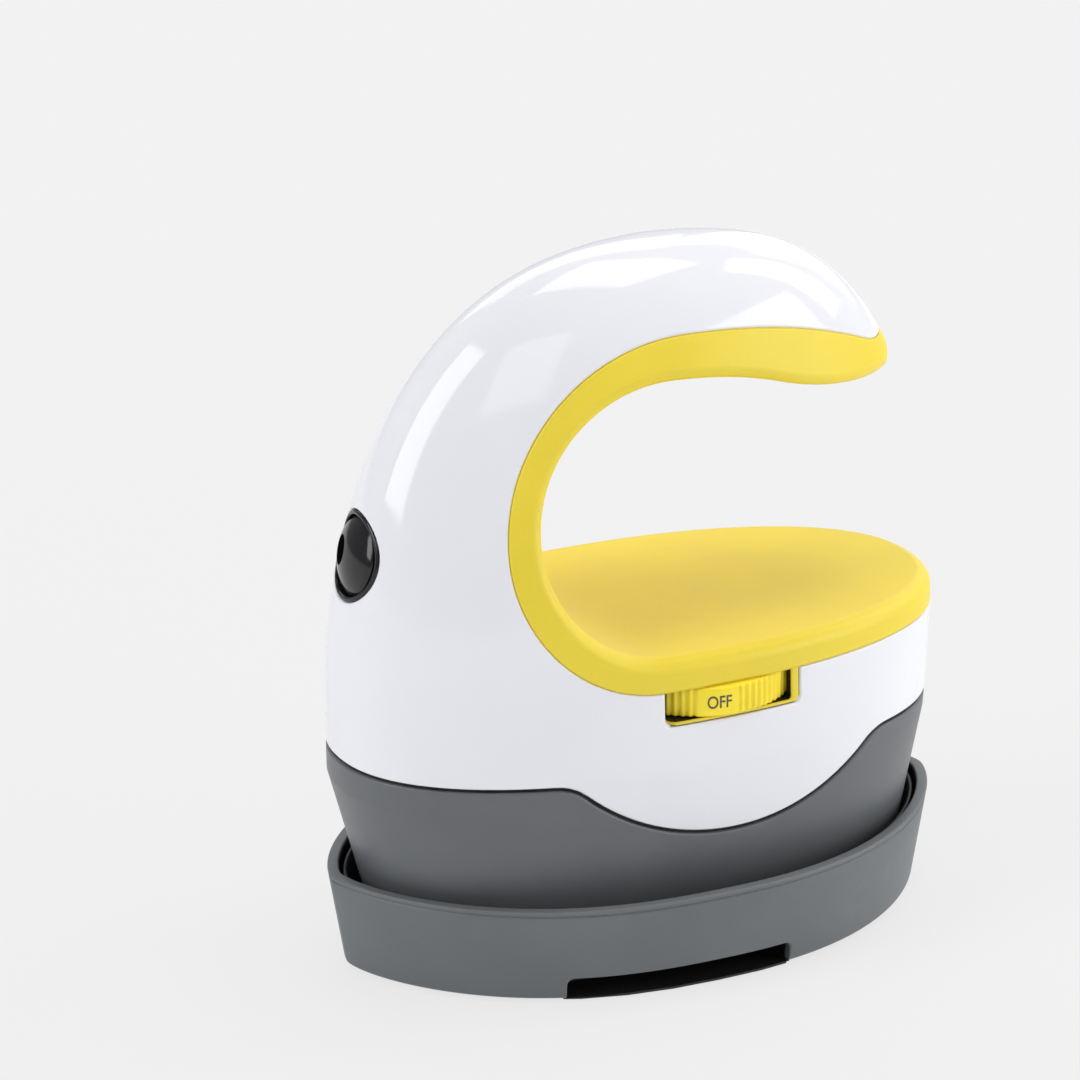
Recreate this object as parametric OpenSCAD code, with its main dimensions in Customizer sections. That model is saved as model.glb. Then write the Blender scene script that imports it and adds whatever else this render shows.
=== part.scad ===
// Mini handheld heat press standing in its own safety tray.
// Millimetres, +Z up, +X towards the open end of the handle arm, -Y towards the dial.
// The origin is the middle of the tray's footprint, on the table.

/* [Body] */
// Height of the crown of the handle arm above the table
crown_h = 137; // [132:0.5:170]
// Distance from the crown back to the rear of the body
back_reach = 64.6; // [60:0.2:80]
// Distance from the crown forward to the front of the body
front_reach = 57.7; // [54:0.2:72]
// Half width of the body at its widest
body_half_w = 33.4; // [30:0.2:42]
// How far the middle of the body stands behind the middle of the tray
body_setback = 0.95; // [0:0.05:3]
// Height at which the ends of the body start to narrow towards the plate
taper_z = 38.4; // [36:0.2:44]
// Inward lean of the rear end below that height, in mm per mm
back_taper = 0.252; // [0.1:0.002:0.3]
// Inward lean of the front end below that height, in mm per mm
front_taper = 0.109; // [0.05:0.001:0.2]
// Height at which the long sides start to lean in
side_taper_z = 44; // [40:0.5:48]
// Inward lean of the long sides below that height, in mm per mm
side_taper = 0.12; // [0.05:0.01:0.18]
// Wall thickness of the white housing and the grey skirt
wall = 2; // [1.6:0.1:2.4]

/* [Hand opening] */
// Height of the palm pad's top face
pad_z = 65.5; // [62:0.5:70]
// Rearmost point of the opening, behind the origin
hand_back_x = 30; // [26:0.5:34]
// Height of that rearmost point
hand_mid_z = 88.4; // [84:0.2:92]
// Radius of the opening's upper rear quarter
hand_upper_r = 27.4; // [22:0.2:30]
// Radius of the underside of the arm in front of that quarter
arm_under_r = 70; // [60:1:120]
// Angle that this underside turns through
arm_under_angle = 19.1; // [10:0.1:20]
// Radius with which the underside flattens towards the tip
tip_under_r = 88; // [60:1:120]
// Length of the flat stretch under the tip
tip_flat = 2.4; // [0:0.2:4]
// Radius that rounds the lower edge of the tip
tip_nose_r = 1.5; // [1:0.5:6]

/* [Grip liner] */
// Rearmost point of the yellow band, behind the origin
band_back_x = 36.6; // [33:0.2:40]
// Height of that rearmost point
band_mid_z = 86.3; // [82:0.1:90]
// Radius of the band's upper rear quarter
band_upper_r = 37.6; // [32:0.2:40]
// Radius of the band's edge over the arm, down to the tip
band_over_r = 98; // [80:1:140]
// Place along the arm where that edge starts to level off
band_level_x = 45; // [40:0.5:48]
// Radius with which it levels off
band_level_r = 9; // [6:0.5:14]
// Thickness of the pad's visible edge
pad_edge_h = 6; // [4:0.5:8]
// Wall thickness of the liner
liner_t = 2; // [1.6:0.1:2.4]

/* [Seam] */
// Height of the seam at both ends of the body
seam_z = 42.6; // [40:0.2:46]
// Height of the seam's lowest point
seam_low_z = 29.2; // [28.6:0.2:34]
// Place of that lowest point along the body
seam_low_x = 5; // [-5:0.5:15]
// Radius of the seam's dip
seam_dip_r = 46; // [36:1:60]
// Radius that eases the dip into the level seam
seam_shoulder_r = 9; // [4:0.5:14]
// Height of the shadow gap along the seam, filled by the gasket
seam_gap = 0.5; // [0.3:0.1:0.8]

/* [Dial] */
// Radius of the dial over its ribs
dial_r = 18.6; // [15:0.1:20]
// Thickness of the dial
dial_t = 5.4; // [4:0.1:6]
// How far the dial stands out of the body's side
dial_proud = 1.2; // [0.8:0.1:2]
// Place of the dial's axis along the body
dial_x = 4.7; // [0:0.1:10]
// Half width of the window in the white wall
window_half_w = 14.3; // [12:0.1:16]
// Width of the plain patch at each setting, in degrees
patch_angle = 24; // [18:1:28]
// Number of ribs between two plain patches
ribs_per_gap = 8; // [5:1:10]
// Depth of the ribs
rib_depth = 0.4; // [0.2:0.05:0.6]
// Angle between two settings
setting_angle = 60; // [45:1:70]
// Radius of the dial's shaft
shaft_r = 3; // [2.5:0.1:3.5]

/* [Cord outlet] */
// Height of the outlet's middle on the back of the body
outlet_z = 84; // [78:0.5:90]
// Tilt of the outlet's axis above the horizontal
outlet_tilt = 13; // [0:1:20]
// Radius of the round hole in the housing
outlet_r = 8.6; // [8:0.1:9.6]
// Radius of the bore that takes the cord
cord_bore_r = 2.9; // [2.5:0.1:3.2]
// Tilt of that bore against the swivel's axis
cord_bore_tilt = 15; // [8:1:16]
// Radius of the swivel's spindle
spindle_r = 6.2; // [5.8:0.1:6.4]

/* [Heat plate] */
// Thickness of the plate
plate_t = 5; // [4:0.5:6]
// Height of the plate's working face while it rests in the tray
plate_z = 10; // [9.6:0.1:12]
// Inset of the plate from the skirt's outer face
plate_inset = 0.8; // [0.5:0.1:1.5]
// Radius of the heating rod
rod_r = 3.25; // [2.8:0.05:3.5]
// Distance of the rod's straight legs from the middle
rod_half_gap = 15; // [12:0.5:15.5]
// Radius of the four posts on the plate
post_r = 4; // [3.5:0.1:4.4]

/* [Tray] */
// Height of the tray's rim
rim_z = 20.2; // [18:0.1:23]
// Room between the body and the rim's outer edge at the ends
rim_gap_l = 1.7; // [1.5:0.05:8]
// Room between the body and the rim's outer edge at the sides
rim_gap_w = 6.1; // [5:0.1:9]
// How much narrower than its rim the tray stands on the table
tray_flare = 3.2; // [2:0.1:4]
// Wall thickness of the tray
tray_wall = 1.9; // [1.6:0.1:2]
// Height of the tray's lower edge above the table
tray_lift = 0.8; // [0.6:0.1:1.1]
// Height of the finger notch above the table
notch_z = 5.3; // [5.2:0.1:5.4]
// Width of the notch
notch_w = 45; // [30:1:50]
// Place of the notch's middle along the tray
notch_x = -7.2; // [-12:0.2:0]
// Space between the tray's wall and the liner's wall
cup_gap = 1; // [0.8:0.1:1.2]
// Thickness of the feet
foot_h = 1.2; // [1:0.1:1.5]

/* [Fasteners] */
// Radius of the housing screws
screw_r = 1.5; // [1.3:0.1:1.7]
// Radius of the bosses that they run through
boss_r = 3.5; // [3.2:0.1:4]

/* [Clearances] */
// Gap between moulded pieces that are pushed together
fit_gap = 0.15; // [0.1:0.05:0.2]
// Radial gap of a turning shaft
running_gap = 0.05; // [0.02:0.01:0.1]

/* [Hidden] */

// Exponents of the body's outline: full in the middle, lens-shaped like the plate at the
// bottom, and narrower towards the crown.
full_z = 60;
arm_z = 105;
full_p = 2.27;
full_q = 0.45;
plate_p = 2.37;
plate_q = 0.52;
tray_p = 2.41;
tray_q = 0.7;
arm_p = 1.61;
arm_q = 0.5;
// Heights at which the back, the front and the sides start to curve in to the crown, and the
// exponents of those curves.
back_curve_z = 50.3;
back_curve_n = 2.37;
front_curve_z = 53;
front_curve_n = 2.74;
side_curve_z = 24;
side_curve_n = 2.4;
// Lean of the front between the taper and that height, in mm per mm.
front_lean = 0.058;

section_points = 40;
arc_step = 7.5;
crown_x = (back_reach - front_reach) / 2 - body_setback;

skirt_z = plate_z + 2.5;
web_z = skirt_z + 12.5;
web_t = 2.5;
pad_base_z = pad_z - pad_edge_h;
frame_t = 0.8;
dial_z = pad_base_z - dial_t - 0.3;
sill_z = dial_z - fit_gap - frame_t - 0.25;

tray_half_l = (back_reach + front_reach) / 2 + rim_gap_l;
tray_half_w = body_half_w + rim_gap_w;
base_z = foot_h;
base_t = 2;
tray_floor_z = notch_z + 0.5;
tray_floor_t = 1.6;
cup_z = tray_floor_z + tray_floor_t;
cup_t = 1;
cup_wall_t = 0.8;
cup_drop = 1.4;
rest_pad_z = cup_z + cup_t;
rest_pad_t = 1;
lip_z = 0.45;
lip_t = 0.5;
tray_screw_at = [for (x = [-30, 30]) for (s = [-1, 1]) [x, s * (tray_half_w - 21.5)]];
tray_foot_at = [[-42, -10], [-42, 10], [42, -10], [42, 10]];
tray_foot_r = 5;

plate_step_z = skirt_z + 0.1;
plate_top_z = plate_z + plate_t;
rod_z = plate_top_z + 0.5;
rod_front_x = 20;
rod_back_x = -30;
rod_bend_r = 6;
groove_l = rod_front_x - rod_back_x + rod_bend_r + rod_r + 1;
reflector_z = web_z - 5;
reflector_t = 0.8;

board_x = [-39.5 + wall, 28 - wall];
board_z = web_z + web_t + 10.5;
board_t = 1.6;
board_top_z = board_z + board_t;

boss_split_z = seam_z + 2.2;
boss_top_z = pad_base_z - 0.4;

// ---------------------------------------------------------------- outline of the body

function blend(a, b, t) = a + (b - a) * max(0, min(1, t));
function ease(t) = let(c = max(0, min(1, t))) c * c * (3 - 2 * c);
function dome(t, n) = t <= 0 ? 1 : t >= 1 ? 0 : pow(1 - pow(t, n), 1 / n);
function lift(z, start, inset) = (z - start) / (crown_h - inset - start);
function below(z) = max(0, taper_z - z);

function back_x(z, inset = 0) =
    crown_x - (back_reach - inset) * dome(lift(z, back_curve_z, inset), back_curve_n)
    + back_taper * below(z);
function front_x(z, inset = 0) =
    crown_x + (front_reach - inset) * dome(lift(z, front_curve_z, inset), front_curve_n)
    - front_lean * max(0, full_z - z) - front_taper * below(z);
function side_y(z, inset = 0) =
    (body_half_w - inset) * dome(lift(z, side_curve_z, inset), side_curve_n)
    - side_taper * max(0, side_taper_z - z);
function outline_p(z) =
    z > full_z ? blend(full_p, arm_p, ease((z - full_z) / (arm_z - full_z)))
    : blend(full_p, plate_p, (taper_z - z) / (taper_z - skirt_z));
function outline_q(z) =
    z > full_z ? blend(full_q, arm_q, ease((z - full_z) / (arm_z - full_z)))
    : blend(full_q, plate_q, (taper_z - z) / (taper_z - skirt_z));

// Outline whose half width is half_w * (1 - |u|^p)^q, where u runs from -1 to 1 along it.
function lens(half_l, half_w, p, q, mid = 0) = [
    for (i = [0:section_points - 1])
        let (a = 360 * i / section_points, c = cos(a))
            [mid + half_l * c, half_w * pow(max(0, 1 - pow(abs(c), p)), q) * sign(sin(a))]
];
function body_outline(z, inset = 0) =
    let (b = back_x(z, inset), f = front_x(z, inset))
        lens((f - b) / 2, side_y(z, inset), outline_p(z), outline_q(z), (f + b) / 2);
// Half width of the body at a place along it.
function body_side_at(x, z) =
    let (b = back_x(z), f = front_x(z), u = abs((x - (f + b) / 2) / ((f - b) / 2)))
        side_y(z) * pow(1 - pow(u, outline_p(z)), outline_q(z));

// Solid between two outlines with the same number of points.
module slab(low, low_z, high, high_z) {
    n = len(low);
    hull()
        polyhedron(
            points = concat([for (p = low) [p.x, p.y, low_z]], [for (p = high) [p.x, p.y, high_z]]),
            faces = concat(
                [[for (i = [0:n - 1]) i]],
                [[for (i = [n - 1:-1:0]) n + i]],
                [for (i = [0:n - 1]) [i, n + i, n + (i + 1) % n, (i + 1) % n]]
            )
        );
}

// The body between two heights, drawn in by inset.
module body_between(low_z, high_z, inset = 0) {
    steps = 9;
    top = crown_h - inset;
    levels = concat(
        [for (z = [8, 20, 30, taper_z, side_taper_z, 52, full_z]) z],
        [for (i = [1:steps]) full_z + (top - full_z) * sin(88.5 * i / steps)]
    );
    inner = [for (z = levels) if (z > low_z + 0.5 && z < high_z - 0.5) z];
    used = concat([low_z], inner, [min(high_z, top - 0.02)]);
    for (i = [0:len(used) - 2])
        slab(body_outline(used[i], inset), used[i], body_outline(used[i + 1], inset), used[i + 1]);
}

// ---------------------------------------------------------------- side view contours

function arc(cx, cz, r, from, to) =
    let (n = max(2, ceil(abs(to - from) / arc_step)))
        [for (i = [0:n]) let (a = from + (to - from) * i / n) [cx + r * cos(a), cz + r * sin(a)]];

far_x = 90;
hand_lower_r = hand_mid_z - pad_z;
hand_upper_x = hand_upper_r - hand_back_x;
hand_top_z = hand_mid_z + hand_upper_r;
under_end = [
    hand_upper_x + arm_under_r * sin(arm_under_angle),
    hand_top_z - arm_under_r * (1 - cos(arm_under_angle)),
];
flat_mid = [
    under_end.x + tip_under_r * sin(arm_under_angle),
    under_end.y + tip_under_r * cos(arm_under_angle),
];
tip_low_z = flat_mid.y - tip_under_r;

// Region that the hand goes into, in the XZ plane.
module hand_region() {
    polygon(concat(
        [[far_x, pad_z]],
        arc(hand_lower_r - hand_back_x, hand_mid_z, hand_lower_r, 270, 180),
        arc(hand_upper_x, hand_mid_z, hand_upper_r, 180 - arc_step, 90),
        arc(hand_upper_x, hand_top_z - arm_under_r, arm_under_r, 87, 90 - arm_under_angle),
        arc(flat_mid.x, flat_mid.y, tip_under_r, 268 - arm_under_angle, 270),
        arc(flat_mid.x + tip_flat, tip_low_z + tip_nose_r, tip_nose_r, 270, 360),
        [[far_x, tip_low_z + tip_nose_r + 1]]
    ));
}

band_lower_r = band_mid_z - pad_base_z;
band_upper_x = band_upper_r - band_back_x;
band_top_z = band_mid_z + band_upper_r;
band_level_angle = acos((band_level_x - band_upper_x) / band_over_r);

// Region of the yellow liner together with the hand opening, in the XZ plane.
module band_region() {
    polygon(concat(
        [[far_x, pad_base_z]],
        arc(band_lower_r - band_back_x, band_mid_z, band_lower_r, 270, 180),
        arc(band_upper_x, band_mid_z, band_upper_r, 180 - arc_step, 90),
        arc(band_upper_x, band_top_z - band_over_r, band_over_r, 86, band_level_angle),
        arc(
            band_level_x + band_level_r * cos(band_level_angle),
            band_top_z - band_over_r + (band_over_r + band_level_r) * sin(band_level_angle),
            band_level_r, 185 + band_level_angle, 315
        )
    ));
}

module above_seam() {
    offset(r = -seam_shoulder_r)
        offset(r = seam_shoulder_r) {
            translate([-far_x, seam_z])
                square([2 * far_x, crown_h]);
            translate([seam_low_x, seam_low_z + seam_dip_r])
                circle(r = seam_dip_r, $fn = 64);
        }
}

// Stands a region of the XZ plane up and gives it a width along Y.
module across(half_w = 60) {
    rotate([90, 0, 0])
        linear_extrude(2 * half_w, center = true)
            children();
}

// ---------------------------------------------------------------- cord outlet

outlet_turn = [0, outlet_tilt - 90, 0];
outlet_point = [back_x(outlet_z), 0, outlet_z];
ring_face = -2;
cup_floor = ring_face - 3;
ring_back = -8;
spindle_end = -13;
cord_bore_at = -13;

// Puts its children on the outlet's axis, whose zero is the body's surface.
module on_outlet() {
    translate(outlet_point)
        rotate(outlet_turn)
            children();
}

module bar(r, from, to) {
    translate([0, 0, from])
        cylinder(r = r, h = to - from, $fn = 48);
}

// ---------------------------------------------------------------- stand

function tray_outline(z, inset = 0) =
    let (draw = inset + tray_flare * (rim_z - z) / (rim_z - tray_lift))
        lens(tray_half_l - draw, tray_half_w - draw, tray_p, tray_q);

module tray_between(low_z, high_z, inset = 0) {
    slab(tray_outline(low_z, inset), low_z, tray_outline(high_z, inset), high_z);
}

module notch_block(depth, margin = 0, low_z = -1, high_z = notch_z) {
    translate([notch_x - notch_w / 2 + margin, -tray_half_w - 1, low_z])
        cube([notch_w - 2 * margin, depth + 1 + tray_flare, high_z - low_z]);
}

module stand_shell() {
    color("#686d70")
        difference() {
            tray_between(tray_lift, rim_z);
            tray_between(cup_z, rim_z + 0.1, tray_wall);
            tray_between(0, tray_floor_z, tray_wall);
            notch_block(8);
        }
    color("#686d70")
        for (at = tray_screw_at)
            difference() {
                translate([at.x, at.y, base_z + base_t])
                    cylinder(r = 3.4, h = tray_floor_z - base_z - base_t, $fn = 32);
                translate([at.x, at.y, 0])
                    cylinder(r = 1.5, h = tray_floor_z + 0.6, $fn = 32);
            }
}

module stand_liner() {
    color("#161718")
        difference() {
            tray_between(cup_z, rim_z - cup_drop, tray_wall + cup_gap);
            tray_between(cup_z + cup_t, rim_z, tray_wall + cup_gap + cup_wall_t);
        }
}

module stand_rest_pad() {
    color("#2a2b2c") {
        translate([0, 0, rest_pad_z])
            linear_extrude(rest_pad_t)
                polygon(lens(48, 22, 2.37, 0.8));
        for (x = [-30, -10, 10, 30])
            translate([x - 2, -11, rest_pad_z + rest_pad_t])
                cube([4, 22, plate_z - rest_pad_z - rest_pad_t]);
    }
}

module stand_base() {
    inset = tray_wall + 0.3;
    color("#1b1c1d") {
        intersection() {
            tray_between(lip_z, lip_z + lip_t, 0.5);
            notch_block(12.4, 2 * fit_gap);
        }
        difference() {
            notch_block(12.4, 2 * fit_gap, lip_z, base_z + 1);
            notch_block(11, -1);
        }
        difference() {
            tray_between(base_z, tray_floor_z, inset);
            difference() {
                tray_between(base_z + base_t, tray_floor_z + 0.1, inset + 1.4);
                notch_block(12.4);
            }
            notch_block(11);
            for (at = tray_screw_at)
                translate([at.x, at.y, 0]) {
                    cylinder(r = 1.6, h = 10, $fn = 32);
                    cylinder(r = 3, h = base_z + 1, $fn = 32);
                }
        }
    }
}

module stand_feet() {
    color("#202122")
        for (at = tray_foot_at)
            translate([at.x, at.y, 0])
                cylinder(r = tray_foot_r, h = foot_h, $fn = 48);
}

module stand_screws() {
    color("#b9bcc0")
        for (at = tray_screw_at)
            translate([at.x, at.y, base_z])
                difference() {
                    union() {
                        cylinder(r = 2.7, h = 1, $fn = 32);
                        cylinder(r = 1.4, h = tray_floor_z - base_z, $fn = 32);
                    }
                    cylinder(r = 1.2, h = 0.6, $fn = 6);
                }
}

// ---------------------------------------------------------------- shells of the press

boss_x = [back_x(taper_z) + 18, front_x(taper_z) - 21];
boss_y = [12, 14];
boss_at = [for (i = [0, 1]) for (s = [-1, 1]) [boss_x[i], s * boss_y[i]]];

module window_block(margin, depth = 12) {
    translate([dial_x - window_half_w + margin, -body_half_w - 2, sill_z + margin])
        cube([2 * (window_half_w - margin), depth, pad_base_z - sill_z - margin + 0.01]);
}

// Bosses under the pad with a rib each out to the end wall.
module housing_bosses() {
    for (at = boss_at) {
        reach = at.x < 0 ? [back_x(taper_z), at.x] : [at.x, front_x(taper_z)];
        translate([at.x, at.y, boss_split_z])
            cylinder(r = boss_r, h = boss_top_z - boss_split_z, $fn = 32);
        translate([reach[0], at.y - 0.8, boss_split_z])
            cube([reach[1] - reach[0], 1.6, boss_top_z - boss_split_z]);
    }
}

module boss_holes() {
    for (at = boss_at)
        translate([at.x, at.y, 0]) {
            translate([0, 0, boss_split_z - 1])
                cylinder(r = screw_r + 0.1, h = boss_top_z - boss_split_z, $fn = 32);
            translate([0, 0, boss_top_z - 2.1])
                cylinder(r = screw_r + 1.4, h = 5, $fn = 32);
        }
}

module housing() {
    color("white")
        difference() {
            union() {
                difference() {
                    body_between(seam_low_z - 2, crown_h);
                    body_between(seam_low_z - 3, crown_h, wall);
                }
                intersection() {
                    body_between(boss_split_z - 1, boss_top_z + 1, wall / 2);
                    housing_bosses();
                }
            }
            across()
                difference() {
                    translate([-far_x, 0])
                        square([2 * far_x, 2 * seam_z]);
                    translate([0, seam_gap / 2])
                        above_seam();
                }
            across()
                offset(r = fit_gap)
                    band_region();
            window_block(0);
            boss_holes();
            on_outlet()
                bar(outlet_r, -12, 6);
        }
}

module grip_liner() {
    color("#ecd160")
        union() {
            difference() {
                intersection() {
                    body_between(pad_base_z - 0.5, crown_h);
                    across()
                        difference() {
                            band_region();
                            hand_region();
                        }
                }
                intersection() {
                    body_between(pad_base_z - 2, crown_h, wall);
                    across()
                        difference() {
                            offset(delta = 1)
                                band_region();
                            offset(r = liner_t)
                                hand_region();
                        }
                }
            }
            intersection() {
                body_between(sill_z - 1, pad_base_z + 1, 0.4);
                difference() {
                    window_block(fit_gap, frame_depth);
                    window_block(fit_gap + frame_t);
                }
            }
        }
}

module skirt() {
    color("#64686b")
        difference() {
            union() {
                difference() {
                    body_between(skirt_z, seam_z + 2);
                    body_between(skirt_z - 1, web_z, wall);
                    body_between(web_z + web_t, seam_z + 3, wall);
                    across()
                        translate([0, -seam_gap / 2])
                            above_seam();
                }
                for (at = boss_at)
                    translate([at.x, at.y, web_z + web_t - 0.5])
                        cylinder(r = boss_r, h = boss_split_z - web_z - web_t + 0.5 - fit_gap, $fn = 32);
                for (at = board_post_at)
                    translate([at.x, at.y, web_z + web_t - 0.5])
                        cylinder(r = 3, h = board_z - web_z - web_t + 0.5, $fn = 32);
            }
            for (at = boss_at)
                translate([at.x, at.y, web_z + web_t + 3])
                    cylinder(r = screw_r + 0.1, h = 30, $fn = 32);
            for (at = board_post_at)
                translate([at.x, at.y, board_z - 7])
                    cylinder(r = 1.3, h = 8, $fn = 32);
            for (at = post_at)
                translate([at.x, at.y, web_z - 1])
                    cylinder(r = screw_r + 0.2, h = web_t + 2, $fn = 32);
            for (s = [-1, 1])
                translate([rod_back_x - rod_bend_r, s * rod_half_gap, web_z - 1])
                    cylinder(r = rod_r + 0.6, h = web_t + 2, $fn = 32);
            translate([thermostat_x - 9, -9, web_z - 1])
                cube([34, 18, web_t + 2]);
        }
}

module seam_gasket() {
    color("#0e0f10")
        intersection() {
            difference() {
                body_between(seam_low_z - 2, seam_z + 2, 0.7);
                body_between(seam_low_z - 3, seam_z + 3, wall);
            }
            across()
                difference() {
                    translate([0, -seam_gap / 2])
                        above_seam();
                    translate([0, seam_gap / 2])
                        above_seam();
                }
        }
}

module outlet_ring() {
    reach = outlet_r + 6;
    color("#121314")
        difference() {
            union() {
                on_outlet()
                    bar(outlet_r - 0.1, ring_back, ring_face);
                intersection() {
                    on_outlet()
                        bar(outlet_r + 1.9, ring_back, ring_back + 1.4);
                    body_between(outlet_z - reach, outlet_z + reach, wall + fit_gap);
                }
            }
            on_outlet() {
                bar(outlet_r - 0.9, cup_floor, 5);
                bar(spindle_r + running_gap, ring_back - 1, 5);
            }
        }
}

module outlet_clip() {
    color("#8f9498")
        on_outlet()
            difference() {
                bar(spindle_r + 1.8, ring_back - 1.4, ring_back - 0.3);
                bar(spindle_r - 0.6, ring_back - 2, 0);
                translate([0, -1.5, ring_back - 2])
                    cube([12, 3, 3]);
            }
}

module cord_swivel() {
    head_r = outlet_r - 1.2;
    rise = 2.2;
    cap_r = (head_r * head_r + rise * rise) / (2 * rise);
    color("#17181a")
        on_outlet()
            difference() {
                union() {
                    bar(head_r, cup_floor + 0.1, ring_face);
                    intersection() {
                        bar(head_r, ring_face, ring_face + rise + 1);
                        translate([0, 0, ring_face + rise - cap_r])
                            sphere(r = cap_r, $fn = 96);
                    }
                    difference() {
                        bar(spindle_r, spindle_end, cup_floor + 0.2);
                        difference() {
                            bar(spindle_r + 1, ring_back - 1.5, ring_back - 0.2);
                            bar(spindle_r - 0.7, ring_back - 3, 0);
                        }
                    }
                }
                translate([0, 0, cord_bore_at])
                    rotate([-cord_bore_tilt, 0, 0])
                        bar(cord_bore_r, -6, 30);
            }
}

// ---------------------------------------------------------------- heating

plate_mid = (front_x(skirt_z, 0) + back_x(skirt_z, 0)) / 2;
plate_half_l = (front_x(skirt_z, 0) - back_x(skirt_z, 0)) / 2 - plate_inset;
plate_half_w = side_y(skirt_z) - plate_inset;
post_at = [
    [plate_mid - plate_half_l + wall + 6, 0], [plate_mid + plate_half_l - wall - 6, 0],
    [plate_mid, plate_half_w - post_r - wall + 0.8], [plate_mid, post_r + wall - 0.8 - plate_half_w],
];
thermostat_x = -8;
sensor_x = 12;

// The heating rod: a hairpin laid along the plate, its two ends turned up.
module rod_turn(bend_r, angle) {
    rotate_extrude(angle = angle, $fn = 96)
        translate([bend_r, 0])
            circle(r = rod_r, $fn = 32);
}

module heating_element() {
    leg = rod_front_x - rod_back_x;
    rise = web_z + web_t + 1.5 - rod_z - rod_bend_r;
    lap = 0.3;
    color("#8d8478") {
        translate([rod_front_x, 0, rod_z])
            rotate([0, 0, -90])
                rod_turn(rod_half_gap, 180);
        for (s = [-1, 1])
            translate([rod_back_x, s * rod_half_gap, rod_z]) {
                translate([-lap, 0, 0])
                    rotate([0, 90, 0])
                        cylinder(r = rod_r - 0.03, h = leg + 2 * lap, $fn = 32);
                translate([0, 0, rod_bend_r])
                    rotate([90, 90, 180])
                        rod_turn(rod_bend_r, 90);
                translate([-rod_bend_r, 0, rod_bend_r - lap])
                    cylinder(r = rod_r - 0.03, h = rise + lap, $fn = 32);
            }
    }
}

module heat_plate() {
    color("#c4c7ca")
        difference() {
            union() {
                translate([0, 0, plate_z])
                    linear_extrude(plate_step_z - plate_z - 0.2)
                        polygon(lens(plate_half_l, plate_half_w, plate_p, plate_q, plate_mid));
                translate([0, 0, plate_step_z - 0.2])
                    linear_extrude(plate_top_z - plate_step_z + 0.2)
                        polygon(lens(plate_half_l - wall, plate_half_w - wall, plate_p, plate_q, plate_mid));
                for (at = post_at)
                    translate([at.x, at.y, plate_z + 1]) {
                        cylinder(r = post_r, h = reflector_z - plate_z - 1, $fn = 48);
                        cylinder(r = post_r - 1, h = web_z - plate_z - 1, $fn = 48);
                    }
            }
            for (at = post_at)
                translate([at.x, at.y, plate_top_z - 1])
                    cylinder(r = screw_r, h = web_z, $fn = 48);
            translate([rod_front_x, 0, rod_z])
                rotate([0, 0, -90])
                    rotate_extrude(angle = 180, $fn = 96)
                        translate([rod_half_gap, 0])
                            circle(r = rod_r + 0.1, $fn = 32);
            for (s = [-1, 1])
                translate([rod_back_x - rod_bend_r - rod_r - 1, s * rod_half_gap, rod_z])
                    rotate([0, 90, 0])
                        cylinder(r = rod_r + 0.1, h = groove_l, $fn = 32);
        }
}

module element_terminals() {
    color("#c9cdd0")
        for (s = [-1, 1])
            translate([rod_back_x - rod_bend_r, s * rod_half_gap, web_z + web_t + 1.5]) {
                cylinder(r = 1.5, h = 2.2, $fn = 32);
                translate([-0.5, -3, 2])
                    cube([1, 6, 3.5]);
            }
}

// A sheet that lies on the posts: the same holes pass the rod, the thermostat and the screws.
module plate_sheet(low_z, t) {
    difference() {
        translate([0, 0, low_z])
            linear_extrude(t)
                polygon(lens(plate_half_l - wall - 1, plate_half_w - wall - 0.6, plate_p, 0.7, plate_mid));
        for (at = post_at)
            translate([at.x, at.y, low_z - 1])
                cylinder(r = post_r - 0.8, h = t + 2, $fn = 48);
        for (s = [-1, 1])
            translate([rod_back_x - rod_bend_r, s * rod_half_gap, low_z - 1])
                cylinder(r = rod_r + 0.8, h = t + 2, $fn = 48);
        translate([thermostat_x, 0, low_z - 1])
            cylinder(r = 8.8, h = t + 2, $fn = 48);
        translate([sensor_x, 0, low_z - 1])
            cylinder(r = 2.2, h = t + 2, $fn = 48);
    }
}

module heat_reflector() {
    color("#d5d8da")
        plate_sheet(reflector_z, reflector_t);
}

module insulation_board() {
    color("#d8cdb4")
        plate_sheet(reflector_z + reflector_t, web_z - reflector_z - reflector_t);
}

module plate_screws() {
    color("#9ea3a7")
        for (at = post_at)
            translate([at.x, at.y, 0]) {
                translate([0, 0, web_z + web_t])
                    cylinder(r = 2.75, h = 1.9, $fn = 32);
                translate([0, 0, plate_top_z + 1])
                    cylinder(r = screw_r - 0.1, h = web_z + web_t - plate_top_z, $fn = 32);
            }
}

module thermostat() {
    color("#3d3f42")
        translate([thermostat_x, 0, plate_top_z]) {
            cylinder(r = 8, h = 4, $fn = 48);
            cylinder(r = 6, h = 8, $fn = 48);
            for (s = [-1, 1])
                translate([-0.4, s * 3.4 - 1.6, 7.9])
                    cube([0.8, 3.2, 5]);
        }
}

module temperature_sensor() {
    color("#7b5a33")
        translate([sensor_x, 0, plate_top_z]) {
            cylinder(r = 1.8, h = 9, $fn = 32);
            for (s = [-1, 1])
                translate([0, s * 0.9, 9])
                    cylinder(r = 0.4, h = 6, $fn = 16);
        }
}

// ---------------------------------------------------------------- controls

dial_y = dial_r - dial_proud - body_side_at(dial_x, pad_base_z - dial_t / 2);
frame_reach = window_half_w - fit_gap - frame_t - 0.3;
frame_depth = body_half_w + 1.7 + dial_y - sqrt(dial_r * dial_r - frame_reach * frame_reach);
switch_size = 16;
switch_z = board_top_z;
switch_h = dial_z - switch_z - 2.5;
board_near_y = dial_y - switch_size / 2 - 0.9;
board_far_y = -board_near_y;
board_post_at = [
    for (x = [board_x[0] + 12.5, board_x[1] - 6])
        for (y = [board_near_y + 4.5, board_far_y - 4.5])
            if (!(x > 0 && y < 0)) [x, y]
];

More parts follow.
